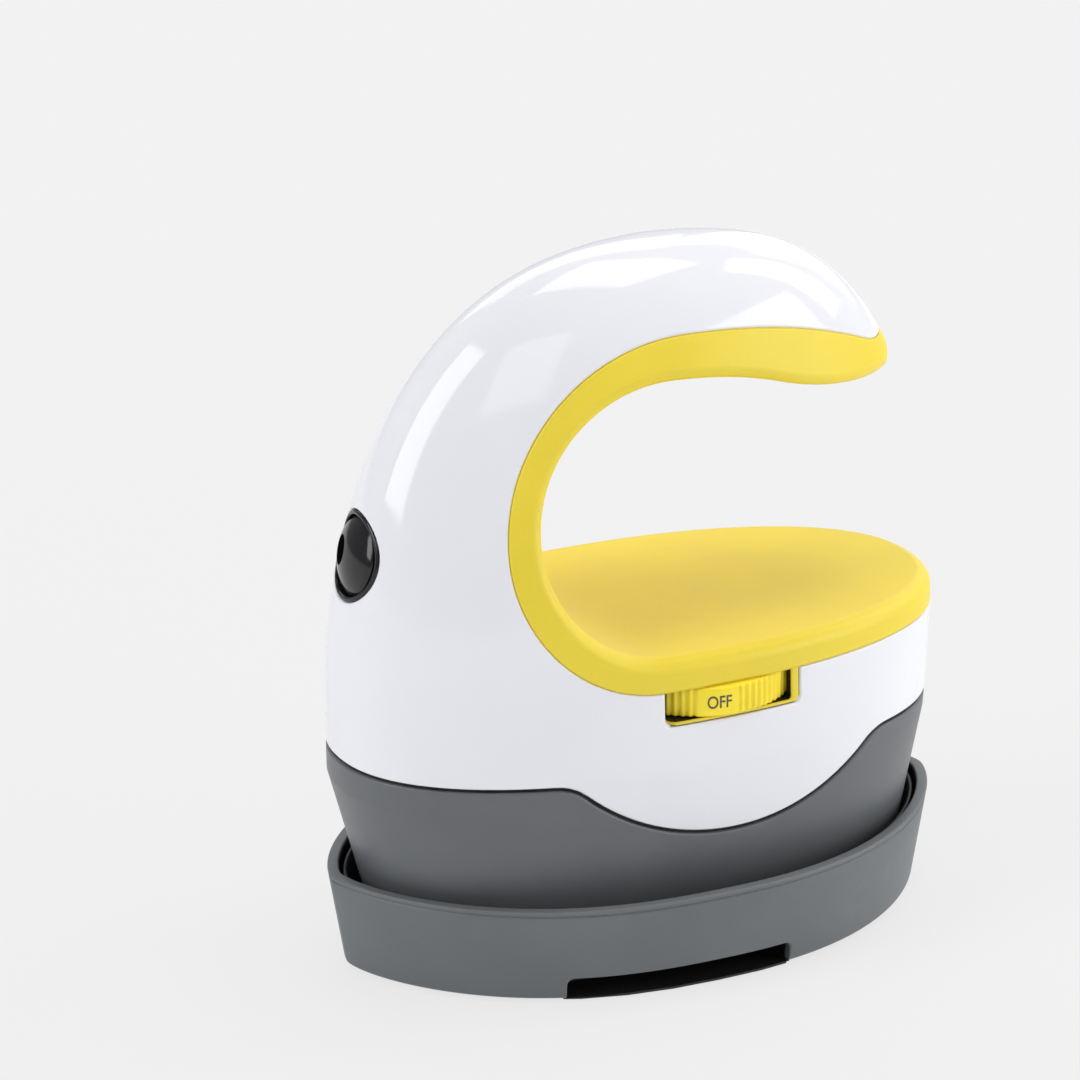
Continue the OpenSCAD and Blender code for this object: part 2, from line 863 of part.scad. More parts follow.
module circuit_board() {
    color("#2f6b43")
        difference() {
            translate([board_x[0], board_near_y, board_z])
                cube([board_x[1] - board_x[0], board_far_y - board_near_y, board_t]);
            for (at = board_post_at)
                translate([at.x, at.y, board_z - 1])
                    cylinder(r = 1.4, h = 4, $fn = 32);
        }
}

module board_screws() {
    color("#9ea3a7")
        for (at = board_post_at)
            translate([at.x, at.y, 0]) {
                translate([0, 0, board_top_z])
                    cylinder(r = 2.3, h = 1.6, $fn = 32);
                translate([0, 0, board_top_z - 7])
                    cylinder(r = 1.2, h = 7.1, $fn = 32);
            }
}

module power_relay() {
    color("#2b55a0")
        translate([-16, 2, board_top_z])
            difference() {
                cube([19, 15.5, 13]);
                translate([0.8, 0.8, 12.4])
                    cube([17.4, 13.9, 1]);
            }
}

module filter_capacitors() {
    color("#303540")
        translate([13, dial_y + switch_size / 2 + 17.5, board_top_z]) {
            cylinder(r = 4, h = 12, $fn = 48);
            translate([-4, -12, 0])
                cube([9, 5, 9]);
        }
}

module terminal_block() {
    color("#3a8f52")
        translate([-24, board_near_y + 8.5, board_top_z])
            difference() {
                cube([10, 12, 9.5]);
                for (y = [3, 9])
                    translate([5, y, 3])
                        cylinder(r = 1.7, h = 8, $fn = 32);
            }
}

// Leads run as smooth tubes along four guide points.
function guide(p, t) =
    pow(1 - t, 3) * p[0] + 3 * pow(1 - t, 2) * t * p[1] + 3 * (1 - t) * t * t * p[2] + pow(t, 3) * p[3];
function heading(p, t) =
    3 * pow(1 - t, 2) * (p[1] - p[0]) + 6 * (1 - t) * t * (p[2] - p[1]) + 3 * t * t * (p[3] - p[2]);

module lead(p, r) {
    rings = 18;
    sides = 8;
    points = [
        for (i = [0:rings])
            let (
                t = i / rings, c = guide(p, t), h = heading(p, t), d = h / norm(h),
                u = cross(d, [0, 1, 0]) / norm(cross(d, [0, 1, 0])), v = cross(d, u)
            )
                for (k = [0:sides - 1])
                    c + r * cos(360 * k / sides) * u + r * sin(360 * k / sides) * v
    ];
    polyhedron(
        points = points,
        faces = concat(
            [[for (k = [0:sides - 1]) k]],
            [[for (k = [sides - 1:-1:0]) rings * sides + k]],
            [
                for (i = [0:rings - 1])
                    for (k = [0:sides - 1])
                        for (f = [0, 1])
                            let (a = i * sides + k, b = i * sides + (k + 1) % sides)
                                f == 0 ? [a, a + sides, b] : [b, a + sides, b + sides]
            ]
        )
    );
}

module mains_leads() {
    start = outlet_point + [cos(outlet_tilt), 0, -sin(outlet_tilt)] * (2 - spindle_end);
    for (i = [0, 1]) {
        y = [-1.5, 1.5][i];
        stop = [-19, board_near_y + 11.5 + 6 * i, board_top_z + 4];
        color(["#7a4a2b", "#2c4f9e"][i])
            lead(
                [start + [0, y, 0], start + [7, y, -4], [stop.x, stop.y, stop.z + 34], stop],
                1.1
            );
    }
}

module heater_leads() {
    color("#e8e4da")
        for (s = [-1, 1])
            translate([rod_back_x - rod_bend_r, s * rod_half_gap, web_z + web_t + 7.1])
                cylinder(r = 1.3, h = board_z - web_z - web_t - 7.1, $fn = 32);
}

module switch_body() {
    color("#26282b")
        translate([dial_x, dial_y, switch_z])
            difference() {
                union() {
                    translate([-switch_size / 2, -switch_size / 2, 0])
                        cube([switch_size, switch_size, switch_h]);
                    cylinder(r = 5, h = switch_h + 2, $fn = 48);
                }
                translate([0, 0, 1.5])
                    cylinder(r = shaft_r + running_gap, h = switch_h + 2, $fn = 48);
            }
}

module dial_shaft() {
    color("#b4b8bb")
        translate([dial_x, dial_y, 0])
            difference() {
                translate([0, 0, switch_z + 1.7])
                    cylinder(r = shaft_r, h = dial_z + dial_t - 0.3 - switch_z - 1.7, $fn = 48);
                translate([0, 0, dial_z + dial_t - 6])
                    cylinder(r = 1.25, h = 8, $fn = 32);
            }
}

// Rim of the dial: a plain patch for each setting and ribs everywhere else.
patches = 4;
off_turn = -101;
rib_pitch = (setting_angle - patch_angle) / ribs_per_gap;
ribs_behind = round((360 - (patches - 1) * setting_angle - patch_angle) / rib_pitch);

function plain(mid) = [
    for (i = [-3:3]) let (a = mid + i * patch_angle / 6) dial_r * [cos(a), sin(a)]
];
function ribbed(start, span, count) = [
    for (i = [0:count - 1])
        for (k = [0:3])
            let (a = start + span * (i + [0.1, 0.3, 0.7, 0.9][k]) / count)
                (dial_r - [rib_depth, 0, 0, rib_depth][k]) * [cos(a), sin(a)]
];

module dial_wheel() {
    color("#e8c63a")
        translate([dial_x, dial_y, dial_z])
            rotate([0, 0, off_turn])
                difference() {
                    linear_extrude(dial_t)
                        polygon([
                            for (i = [1 - patches:0]) each concat(
                                plain(i * setting_angle),
                                i < 0
                                    ? ribbed(
                                        i * setting_angle + patch_angle / 2,
                                        setting_angle - patch_angle, ribs_per_gap
                                    )
                                    : ribbed(
                                        patch_angle / 2,
                                        360 - (patches - 1) * setting_angle - patch_angle,
                                        ribs_behind
                                    )
                            )
                        ]);
                    translate([0, 0, -1])
                        cylinder(r = shaft_r + 0.02, h = dial_t + 2, $fn = 48);
                }
}

module dial_screw() {
    color("#9ea3a7")
        translate([dial_x, dial_y, dial_z + dial_t])
            difference() {
                union() {
                    cylinder(r = 3.4, h = 1.4, $fn = 32);
                    translate([0, 0, -5])
                        cylinder(r = 1.2, h = 5.1, $fn = 32);
                }
                translate([-2.2, -0.35, 0.8])
                    cube([4.4, 0.7, 1]);
            }
}

module housing_screws() {
    color("#9ea3a7")
        for (at = boss_at)
            translate([at.x, at.y, 0]) {
                translate([0, 0, boss_top_z - 2.1])
                    cylinder(r = 2.7, h = 1.9, $fn = 32);
                translate([0, 0, web_z + web_t + 4])
                    cylinder(r = screw_r, h = boss_top_z - 2 - web_z - web_t - 4, $fn = 32);
            }
}

stand_shell();
stand_liner();
stand_rest_pad();
stand_base();
stand_feet();
stand_screws();
housing();
grip_liner();
skirt();
seam_gasket();
heat_plate();
heating_element();
element_terminals();
heat_reflector();
insulation_board();
plate_screws();
thermostat();
temperature_sensor();
circuit_board();
board_screws();
power_relay();
filter_capacitors();
terminal_block();
heater_leads();
mains_leads();
switch_body();
housing_screws();
outlet_ring();
outlet_clip();
cord_swivel();
dial_wheel();
dial_shaft();
dial_screw();
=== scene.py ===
"""Looks of a mini handheld heat press that rests in its safety tray.

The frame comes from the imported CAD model. The moulded shells are computed from the outline of the
body, trimmed along their edges and given rounded rims. Lengths in this file are millimetres until a
mesh is made, and the scene is in metres.
"""

import math

import bmesh
import bpy
import numpy as np
from mathutils import Matrix, Vector


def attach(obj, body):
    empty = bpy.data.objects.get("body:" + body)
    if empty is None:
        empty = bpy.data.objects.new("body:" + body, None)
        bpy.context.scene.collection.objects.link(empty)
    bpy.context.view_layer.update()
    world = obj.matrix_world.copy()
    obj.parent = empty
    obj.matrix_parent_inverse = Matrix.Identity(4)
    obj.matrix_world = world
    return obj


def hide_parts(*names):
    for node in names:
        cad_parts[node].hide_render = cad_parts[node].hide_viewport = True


bl_info = {
    "name": "Mini Heat Press",
    "version": (1, 0, 0),
    "blender": (4, 5, 0),
    "location": "3D View > Sidebar > Heat Press",
    "description": "Builds the surfaces and finishes of a handheld heat press in its tray",
    "category": "Add Mesh",
}

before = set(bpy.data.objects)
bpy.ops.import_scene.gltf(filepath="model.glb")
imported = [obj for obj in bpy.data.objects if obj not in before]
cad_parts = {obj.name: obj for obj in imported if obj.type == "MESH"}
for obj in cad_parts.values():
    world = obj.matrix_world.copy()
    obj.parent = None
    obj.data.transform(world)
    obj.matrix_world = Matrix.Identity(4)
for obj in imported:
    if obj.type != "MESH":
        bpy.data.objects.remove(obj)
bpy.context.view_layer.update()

MM = 0.001


# ---------------------------------------------------------------- what a user would change


def millimetres(name, description, default, **limits):
    return bpy.props.FloatProperty(
        name=name, description=description, default=default, precision=2, **limits
    )


def colour(name, description, default):
    return bpy.props.FloatVectorProperty(
        name=name, description=description, default=default,
        size=3, subtype="COLOR", min=0.0, max=1.0,
    )


class PressSizes(bpy.types.PropertyGroup):
    """Sizes of the press, in millimetres."""

    crown: millimetres("Crown", "Height of the crown of the arm", 137.0)
    wall: millimetres("Wall", "Wall thickness of the shells", 2.0)
    edge: millimetres("Edge", "Radius of the shells' rims", 0.45)
    grip_round: millimetres("Grip rounding", "Radius of the grip's edge towards the hand", 2.8)
    seam_gap: millimetres("Seam", "Height of the shadow gap along the seam", 0.72)
    pad: millimetres("Pad", "Height of the palm pad's top", 65.5)
    dial_radius: millimetres("Dial", "Radius of the dial over its ribs", 18.6)
    rib_depth: millimetres("Ribs", "Depth of the dial's ribs", 0.38)
    letter: millimetres("Lettering", "Height of the dial's lettering", 2.5)
    tray_lip: millimetres("Lip", "Height of the raised lip of the tray", 1.15)
    tray_foot_round: millimetres("Tray edge", "Radius of the tray's lower edge", 1.2)


class PressColours(bpy.types.PropertyGroup):
    """Colours of the mouldings."""

    housing: colour("Housing", "White of the housing", (0.803, 0.805, 0.840))
    grip: colour("Grip", "Yellow of the grip", (0.815, 0.640, 0.046))
    dial: colour("Dial", "Yellow of the dial", (0.97, 0.765, 0.030))
    skirt: colour("Skirt", "Grey of the skirt", (0.121, 0.128, 0.136))
    tray: colour("Tray", "Grey of the tray", (0.130, 0.142, 0.149))
    dark: colour("Black parts", "Black of the cup and the outlet", (0.006, 0.006, 0.007))
    letters: colour("Letters", "Grey of the lettering", (0.09, 0.08, 0.07))


class PressStage(bpy.types.PropertyGroup):
    """Camera, floor and lights."""

    distance: millimetres("Distance", "Distance from the camera to its target", 1040.2)
    azimuth: bpy.props.FloatProperty(
        name="Azimuth", description="Direction of the camera, in degrees", default=-25.70
    )
    elevation: bpy.props.FloatProperty(
        name="Elevation", description="Height of the camera, in degrees", default=21.90
    )
    lens: bpy.props.FloatProperty(
        name="Lens", description="Focal length", default=182.05, unit="CAMERA"
    )
    paper: colour("Floor", "Colour of the floor", (0.888, 0.888, 0.888))


# ---------------------------------------------------------------- shape of the body


def ease(t):
    c = np.clip(t, 0.0, 1.0)
    return c * c * (3.0 - 2.0 * c)


class Body:
    """Outer surface of the press, as a point for each angle round it and each height."""

    back_reach, front_reach, half_width, middle = 64.6, 57.7, 33.4, 2.5
    back_lean, front_lean, side_lean, high_lean = 0.252, 0.109, 0.12, 0.058
    lean_from, side_lean_from, high_lean_from = 38.4, 44.0, 60.0
    foot, widest = 12.5, 50.0
    # each dome has the height at which it starts and the exponent of its curve
    back_dome, front_dome, side_dome = (50.3, 2.37), (53.0, 2.74), (24.0, 2.4)

    def __init__(self, crown, inset=0.0):
        self.crown, self.inset = crown - inset, inset

    def inner(self, params, depth):
        """Points of the body drawn in by depth, for the same angles and about the same heights."""
        drawn = Body(self.crown + self.inset, self.inset + depth)
        z, start = params[:, 1], self.widest
        share = (drawn.crown - start) / (self.crown - start)
        return drawn.point(params[:, 0], np.where(z > start, start + (z - start) * share, z))

    def low(self, z):
        return np.maximum(0.0, self.lean_from - z)

    def rise(self, z, dome):
        """1 where a dome starts and 0 at the crown."""
        start, power = dome
        share = np.clip((z - start) / (self.crown - start), 0.0, 1.0)
        return (1.0 - share**power) ** (1.0 / power)

    def back(self, z):
        reach = (self.back_reach - self.inset) * self.rise(z, self.back_dome)
        return self.middle - reach + self.back_lean * self.low(z)

    def front(self, z):
        reach = (self.front_reach - self.inset) * self.rise(z, self.front_dome)
        lean = self.high_lean * np.maximum(0.0, self.high_lean_from - z)
        return self.middle + reach - lean - self.front_lean * self.low(z)

    def side(self, z):
        low = np.maximum(0.0, self.side_lean_from - z)
        return (self.half_width - self.inset) * self.rise(z, self.side_dome) - self.side_lean * low

    def spread(self, u, z):
        """Share of the half width at a share u of the half length.

        The outline's two exponents p and q and the easing of its middle change with the height.
        """
        high = ease((z - 60.0) / 45.0)
        deep = np.clip(self.low(z) / (self.lean_from - self.foot), 0.0, 1.0)
        p = 2.27 - 0.66 * high + 0.10 * deep
        q = 0.45 + 0.05 * high + 0.07 * deep
        soft = 0.22 * high + 1e-4
        base = soft**p
        bent = ((u * u + soft * soft) ** (p / 2) - base) / ((1 + soft * soft) ** (p / 2) - base)
        return np.maximum(0.0, 1.0 - bent) ** q

    def point(self, angle, z):
        back, front = self.back(z), self.front(z)
        across = np.cos(angle)
        x = (front + back) / 2 + (front - back) / 2 * across
        y = self.side(z) * self.spread(np.abs(across), z) * np.sign(np.sin(angle))
        y = np.where(np.abs(np.sin(angle)) < 1e-9, 0.0, y)
        return np.stack([x, y, z + 0 * x], axis=-1)

    def half(self, x, z):
        """Half width of the body at a place along it."""
        back, front = self.back(z), self.front(z)
        u = np.abs((x - (front + back) / 2) / ((front - back) / 2))
        return self.side(z) * self.spread(np.minimum(u, 1.0), z)

    def normal(self, angle, z):
        """Outward unit normals, from small steps round and up."""
        da, dz = 2e-3, 0.05
        top = np.minimum(z + dz, self.crown - 1e-3)
        turn = self.point(angle + da, z) - self.point(angle - da, z)
        rise = self.point(angle, top) - self.point(angle, top - 2 * dz)
        n = np.cross(turn, rise)
        n /= np.maximum(np.linalg.norm(n, axis=-1, keepdims=True), 1e-12)
        n[z > self.crown - 0.02] = (0.0, 0.0, 1.0)
        return n


# ---------------------------------------------------------------- side view contours


class Contour:
    """A smooth chain of arcs and level lines in the side view, with its signed distance.

    An arc is (cx, cz, radius, from, to, side) with angles in degrees, and a line is (z, x0, x1, side).
    side is 1 where the region lies inside the arc or above the line, and -1 where it lies outside it
    or below. The distance is negative inside the region.
    """

    def __init__(self, arcs, lines):
        self.arcs, self.lines = arcs, lines

    def distance(self, x, z):
        best = np.full(np.shape(x), 1e9)
        for cx, cz, radius, start, stop, side in self.arcs:
            angle = np.degrees(np.arctan2(z - cz, x - cx))
            within = (angle - start) % 360.0 <= stop - start
            d = (np.hypot(x - cx, z - cz) - radius) * side
            best = np.where(within & (np.abs(d) < np.abs(best)), d, best)
        for level, x0, x1, side in self.lines:
            d = (level - z) * side
            best = np.where((x >= x0) & (x <= x1) & (np.abs(d) < np.abs(best)), d, best)
        return best

    def slope(self, point):
        """Direction in the side view in which the distance grows."""
        step, x, z = 0.02, point[:, 0], point[:, 2]
        dx = self.distance(x + step, z) - self.distance(x - step, z)
        dz = self.distance(x, z + step) - self.distance(x, z - step)
        away = np.column_stack([dx, 0 * dx, dz])
        return away / np.maximum(np.linalg.norm(away, axis=1, keepdims=True), 1e-9)

    def measure(self, sign, gap=0.0):
        """A measure of points: the distance with this sign, less a gap."""
        return lambda point: sign * self.distance(point[:, 0], point[:, 2]) - gap


# past the front of the body
FAR = 200.0


def hand_contour(pad):
    """The hand opening: round behind, level on the pad and bent along the arm's underside."""
    middle_z, upper_x, upper_r = 88.4, -2.6, 27.4
    turn, over_r, tip_r, nose_r = 19.1, 70.0, 88.0, 4.6
    lower_r, top = middle_z - pad, middle_z + upper_r
    lower_x = lower_r - 30.0
    bend = math.radians(turn)
    tip_x = upper_x + (over_r + tip_r) * math.sin(bend)
    tip_z = top - over_r * (1 - math.cos(bend)) + tip_r * math.cos(bend)
    arcs = [
        (lower_x, middle_z, lower_r, 180, 270, 1),
        (upper_x, middle_z, upper_r, 90, 180, 1),
        (upper_x, top - over_r, over_r, 90 - turn, 90, 1),
        (tip_x, tip_z, tip_r, 270 - turn, 270, -1),
        (tip_x - 1.0, tip_z - tip_r + nose_r, nose_r, 270, 450, -1),
    ]
    return Contour(arcs, [(pad, lower_x, FAR, 1)])


def band_contour():
    """The outer edge of the grip's band, which runs out level at the tip of the arm."""
    middle_z, over_x, over_z, over_r, tip_r = 86.3, 1.0, 25.9, 98.0, 11.0
    level = math.acos(42.0 / over_r)
    reach, turn = over_r + tip_r, math.degrees(level)
    arcs = [
        (-9.8, middle_z, 26.8, 180, 270, 1),
        (over_x, middle_z, 37.6, 90, 180, 1),
        (over_x, over_z, over_r, turn, 90, 1),
        (over_x + reach * math.cos(level), over_z + reach * math.sin(level), tip_r, 180 + turn, 315, -1),
    ]
    return Contour(arcs, [(59.5, -9.8, FAR, 1)])


BAND = band_contour()
SEAM_Z, SEAM_TILT = 42.6, 0.018
DIP_X, DIP_Z, DIP_R, SHOULDER_R = 5.0, 75.2, 46.0, 9.0


def seam_height(point):
    """Signed distance above the seam: a level line and a dip, eased into each other by arcs."""
    x, up = point[:, 0], point[:, 2] + SEAM_TILT * point[:, 0]
    away = np.abs(x - DIP_X)
    dip = DIP_R - np.hypot(away, up - DIP_Z)
    ease_z = SEAM_Z - SHOULDER_R
    reach = math.sqrt((DIP_R + SHOULDER_R) ** 2 - (DIP_Z - ease_z) ** 2)
    shoulder = np.hypot(away - reach, up - ease_z) - SHOULDER_R
    eased = (away < reach) & (up > ease_z) & (away / reach + (up - ease_z) / (DIP_Z - ease_z) > 1)
    return np.where(eased, shoulder, np.maximum(up - SEAM_Z, dip))


def seam_measure(sign, gap):
    """A measure of points: the height above the seam with this sign, less a gap."""
    return lambda point: sign * seam_height(point) - gap


# axis of the dial and the heights of its two faces
DIAL_X, DIAL_Y = 4.7, -15.207
DIAL_Z = (53.42, 59.2)
# a distance for points that a cut doesn't concern
NOWHERE = 1e3


def window_distance(point):
    """Signed distance to the dial's window in the near wall, positive outside it."""
    half, low, high, corner = 14.3, 52.55, 66.0, 1.3
    dx = np.abs(point[:, 0] - DIAL_X) - (half - corner)
    dz = np.abs(point[:, 2] - (low + high) / 2) - ((high - low) / 2 - corner)
    d = np.hypot(np.maximum(dx, 0), np.maximum(dz, 0)) + np.minimum(np.maximum(dx, dz), 0) - corner
    return np.where(point[:, 1] < 0, d, NOWHERE)


OUTLET_TILT = math.radians(13.0)
OUTLET_Z, OUTLET_HOLE_R = 84.0, 8.75


def outlet_frame(body):
    """Point and outward axis of the cord outlet."""
    start = np.array([float(body.back(np.array(OUTLET_Z))), 0.0, OUTLET_Z])
    return start, np.array([-math.cos(OUTLET_TILT), 0.0, math.sin(OUTLET_TILT)])


def outlet_rise(body, point, axis):
    """How high the body's surface stands over the outlet's own plane, at each point."""
    low, high = np.full(len(point), -9.0), np.full(len(point), 3.0)
    for _ in range(40):
        mid = (low + high) / 2
        at = point + axis * mid[:, None]
        inside = body.half(at[:, 0], at[:, 2]) > np.abs(at[:, 1])
        inside &= at[:, 0] > body.back(at[:, 2])
        low, high = np.where(inside, mid, low), np.where(inside, high, mid)
    return low + (point - outlet_frame(body)[0]) @ axis


def outlet_distance(body, point):
    """Signed distance to the outlet's hole in the back, positive outside it."""
    start, axis = outlet_frame(body)
    off = point - start
    along = off @ axis
    radial = np.linalg.norm(off - along[:, None] * axis, axis=1)
    return np.where(along > -14.0, radial - OUTLET_HOLE_R, NOWHERE)


# ---------------------------------------------------------------- trimming a surface


def sides(face):
    """The edges of a face, in its direction."""
    return zip(face, face[1:] + face[:1])


class Skin:
    """A surface over (angle, height), kept as parameters and faces so that it can be trimmed."""

    # a vertex is moved onto a line that crosses its edge within this share of the edge
    snap_share = 0.28

    def __init__(self, body, params, faces):
        self.body, self.params, self.faces = body, params, faces
        self.locked = np.zeros(len(params), bool)
        self.twin = None

    @classmethod
    def half_round(cls, body, heights, columns):
        """The side where y is positive or zero."""
        angles = np.linspace(0.0, math.pi, columns + 1)
        params = [(a, z) for z in heights for a in angles]
        wide = columns + 1
        faces = []
        for i in range(len(heights) - 1):
            for j in range(columns):
                a = i * wide + j
                faces.append((a, a + 1, a + 1 + wide, a + wide))
        if heights[-1] > body.crown - 0.1:
            pole = len(params)
            params.append((0.0, body.crown))
            base = (len(heights) - 1) * wide
            faces += [(base + j, base + j + 1, pole) for j in range(columns)]
        return cls(body, np.array(params), faces)

    def points(self, params=None):
        p = self.params if params is None else params
        return self.body.point(p[:, 0], p[:, 1])

    def normals(self):
        return self.body.normal(self.params[:, 0], self.params[:, 1])

    def between(self, i, j, t):
        """Parameters of the point a share t of the way from vertex i to vertex j."""
        a, b = self.params[i].copy(), self.params[j].copy()
        if a[0] - b[0] > math.pi:
            b[0] += 2 * math.pi
        elif b[0] - a[0] > math.pi:
            a[0] += 2 * math.pi
        c = a + (b - a) * t
        c[0] %= 2 * math.pi
        return c

    def on_rim(self, vertex):
        """Whether a vertex lies in the plane of symmetry."""
        return abs(math.sin(self.params[vertex][0])) < 1e-9

    def crossed(self, values):
        """Edges whose ends have values on both sides of zero."""
        edges = {}
        for face in self.faces:
            signs = values[list(face)]
            if signs.min() < 0 < signs.max():
                for a, b in sides(face):
                    if values[a] * values[b] < 0:
                        edges[min(a, b), max(a, b)] = None
        return list(edges)

    def snap(self, values, edges):
        """Moves the vertices that lie near the line onto it, along the edge with the smallest share."""
        nearest = {}
        for a, b in edges:
            t = values[a] / (values[a] - values[b])
            for vertex, other, share in ((a, b, t), (b, a, 1 - t)):
                if share < self.snap_share and not self.locked[vertex]:
                    if vertex not in nearest or share < nearest[vertex][1]:
                        nearest[vertex] = (other, share)
        moved = {}
        for vertex, (other, share) in nearest.items():
            if self.on_rim(other) or not self.on_rim(vertex):
                moved[vertex] = self.between(vertex, other, share)
        for vertex, place in moved.items():
            self.params[vertex] = place
            values[vertex] = 0.0
            self.locked[vertex] = True

    def insert(self, measure, level, values, edges):
        """Adds a vertex to each edge that the line still crosses. Gives its number by edge."""
        fresh, made = [], {}
        for a, b in edges:
            if values[a] * values[b] < 0:
                t = values[a] / (values[a] - values[b])
                w = float(measure(self.points(self.between(a, b, t)[None]))[0] - level)
                if w * values[a] > 0:
                    t += (1 - t) * w / (w - values[b])
                else:
                    t *= values[a] / (values[a] - w)
                made[a, b] = len(self.params) + len(fresh)
                fresh.append(self.between(a, b, min(max(t, 0.02), 0.98)))
        if fresh:
            self.twin = None
            self.params = np.vstack([self.params, fresh])
            self.locked = np.concatenate([self.locked, np.ones(len(fresh), bool)])
        return made

    def split(self, measure, level):
        """Splits the faces along the line where the measure has this level.

        Gives the measure at each vertex, less the level.
        """
        values = measure(self.points()) - level
        values[np.abs(values) < 1e-7] = 0.0
        edges = self.crossed(values)
        self.snap(values, edges)
        made = self.insert(measure, level, values, edges)
        values = np.concatenate([values, np.zeros(len(made))])
        faces = []
        for face in self.faces:
            loop = []
            for a, b in sides(face):
                loop.append(a)
                key = (min(a, b), max(a, b))
                if key in made:
                    loop.append(made[key])
            on = [k for k, i in enumerate(loop) if values[i] == 0.0]
            if len(on) == 2 and values[loop].min() < 0 < values[loop].max():
                i, j = on
                faces += [tuple(loop[i : j + 1]), tuple(loop[j:] + loop[: i + 1])]
            else:
                faces.append(tuple(loop))
        self.faces = [face for face in faces if len(face) > 2]
        return values

    def keep(self, measure):
        """Trims away what lies below zero."""
        values = self.split(measure, 0.0)

        def inside(face):
            part = values[list(face)]
            part = part[part != 0.0]
            return len(part) > 0 and part.mean() > 0

        self.faces = [face for face in self.faces if inside(face)]
        return self

    def rings(self, measure, radius, steps):
        """Adds the rows of vertices that a rounded rim needs."""
        for k in range(steps):
            turn = math.pi / 2 * (k + 0.02) / steps
            self.split(measure, radius * (1 - math.sin(turn)))
        return self

    def trim(self, cuts, edge):
        """Trims by each cut and adds the rows for rims of this radius."""
        for cut in cuts:
            self.keep(cut)
        for cut in cuts:
            self.rings(cut, edge, 3)
        return self.compact()

    def whole(self):
        """Adds the mirrored side."""
        count = len(self.params)
        on_rim = np.abs(np.sin(self.params[:, 0])) < 1e-9
        other = np.arange(count)
        side = np.flatnonzero(~on_rim)
        other[side] = count + np.arange(len(side))
        mirrored = self.params[side] * (-1, 1) + (2 * math.pi, 0)
        self.params = np.vstack([self.params, mirrored])
        self.locked = np.concatenate([self.locked, self.locked[side]])
        self.faces += [tuple(int(other[i]) for i in reversed(face)) for face in self.faces]
        self.twin = np.concatenate([other, side])
        return self

    def compact(self):
        """Drops the vertices that no face uses."""
        used = sorted({i for face in self.faces for i in face})
        index = {old: new for new, old in enumerate(used)}
        self.faces = [tuple(index[i] for i in face) for face in self.faces]
        self.params = self.params[used]
        self.locked = self.locked[used]
        if self.twin is not None:
            self.twin = np.array([index.get(int(self.twin[i]), -1) for i in used])
        return self


def slope_of(measure, point, normal):
    """Direction along the surface in which the measure grows."""
    step = 0.02
    grad = np.stack(
        [(measure(point + step * e) - measure(point - step * e)) / (2 * step) for e in np.eye(3)],
        axis=-1,
    )
    grad -= np.sum(grad * normal, axis=1, keepdims=True) * normal
    return grad / np.maximum(np.linalg.norm(grad, axis=1, keepdims=True), 1e-9)


def rounded(point, normal, inward, slope, distance, radius):
    """Sinks a rim along inward so that it is a quarter round. Gives points and turned normals.

    distance is how far each point is from the rim, and slope the direction away from the rim.
    """
    lean = 1.0 - np.clip(distance, 0.0, radius) / radius
    flat = np.sqrt(np.maximum(0.0, 1.0 - lean * lean))
    sink = radius * (1.0 - flat)
    turned = normal * flat[:, None] - slope * lean[:, None]
    turned /= np.linalg.norm(turned, axis=1, keepdims=True)
    return point - inward * sink[:, None], turned


# ---------------------------------------------------------------- making meshes


def add_face(faces, corners):
    """Adds a face without its repeated corners, if it still has an area."""
    face = [v for k, v in enumerate(corners) if v not in corners[:k]]
    if len(face) > 2:
        faces.append(tuple(face))


def rim_edges(faces):
    """Edges that only one face uses, in that face's direction."""
    seen = dict.fromkeys(edge for face in faces for edge in sides(face))
    return [(a, b) for a, b in seen if (b, a) not in seen]


def thick(outer, shading, inner, inner_shading, faces):
    """A closed solid: the outer faces, an inner copy and the wall round each rim.

    Gives its points, its faces and a normal for each face corner.
    """
    count = len(outer)
    solid, corners = [], []
    for face in faces:
        solid += [tuple(face), tuple(i + count for i in reversed(face))]
        corners += [[shading[i] for i in face], [-inner_shading[i] for i in reversed(face)]]
    for a, b in rim_edges(faces):
        solid.append((b, a, a + count, b + count))
        corners.append([shading[b], shading[a], shading[a], shading[b]])
    return np.vstack([outer, inner]), solid, corners


def mesh_of(name, points, faces):
    """A mesh from points in millimetres."""
    mesh = bpy.data.meshes.new(name)
    mesh.from_pydata([tuple(p) for p in np.asarray(points) * MM], [], [tuple(f) for f in faces])
    return mesh


def linked(name, data):
    """An object of this data, in the scene."""
    obj = bpy.data.objects.new(name, data)
    bpy.context.scene.collection.objects.link(obj)
    return obj


def make_object(name, made, material, body, node=None, smooth=True):
    """A mesh object from points, faces and perhaps corner normals, riding on a CAD body."""
    points, faces, *corners = made
    mesh = mesh_of(name, points, faces)
    mesh.polygons.foreach_set("use_smooth", [smooth] * len(mesh.polygons))
    if corners:
        mesh.normals_split_custom_set([tuple(n) for face in corners[0] for n in face])
    mesh.validate()
    mesh.update()
    obj = linked(name, mesh)
    mesh.materials.append(material)
    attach(obj, body)
    if node:
        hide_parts(*([node] if isinstance(node, str) else node))
    return obj


def stack(rows, closed):
    """Quads through rows of equally many points. A closed stack joins its last row to its first."""
    count = len(rows[0])
    faces = []
    for i in range(len(rows) if closed else len(rows) - 1):
        k = (i + 1) % len(rows)
        for j in range(count):
            n = (j + 1) % count
            faces.append((i * count + j, i * count + n, k * count + n, k * count + j))
    return np.vstack(rows), faces


def bar(rows):
    """A closed bar whose rows run along it, one behind the other round it."""
    count, around = len(rows[0]), len(rows)
    faces = []
    for i in range(around):
        k = (i + 1) % around
        for j in range(count - 1):
            faces.append((i * count + j, k * count + j, k * count + j + 1, i * count + j + 1))
    faces.append(tuple(i * count for i in range(around)))
    faces.append(tuple(i * count + count - 1 for i in reversed(range(around))))
    return np.vstack(rows), faces


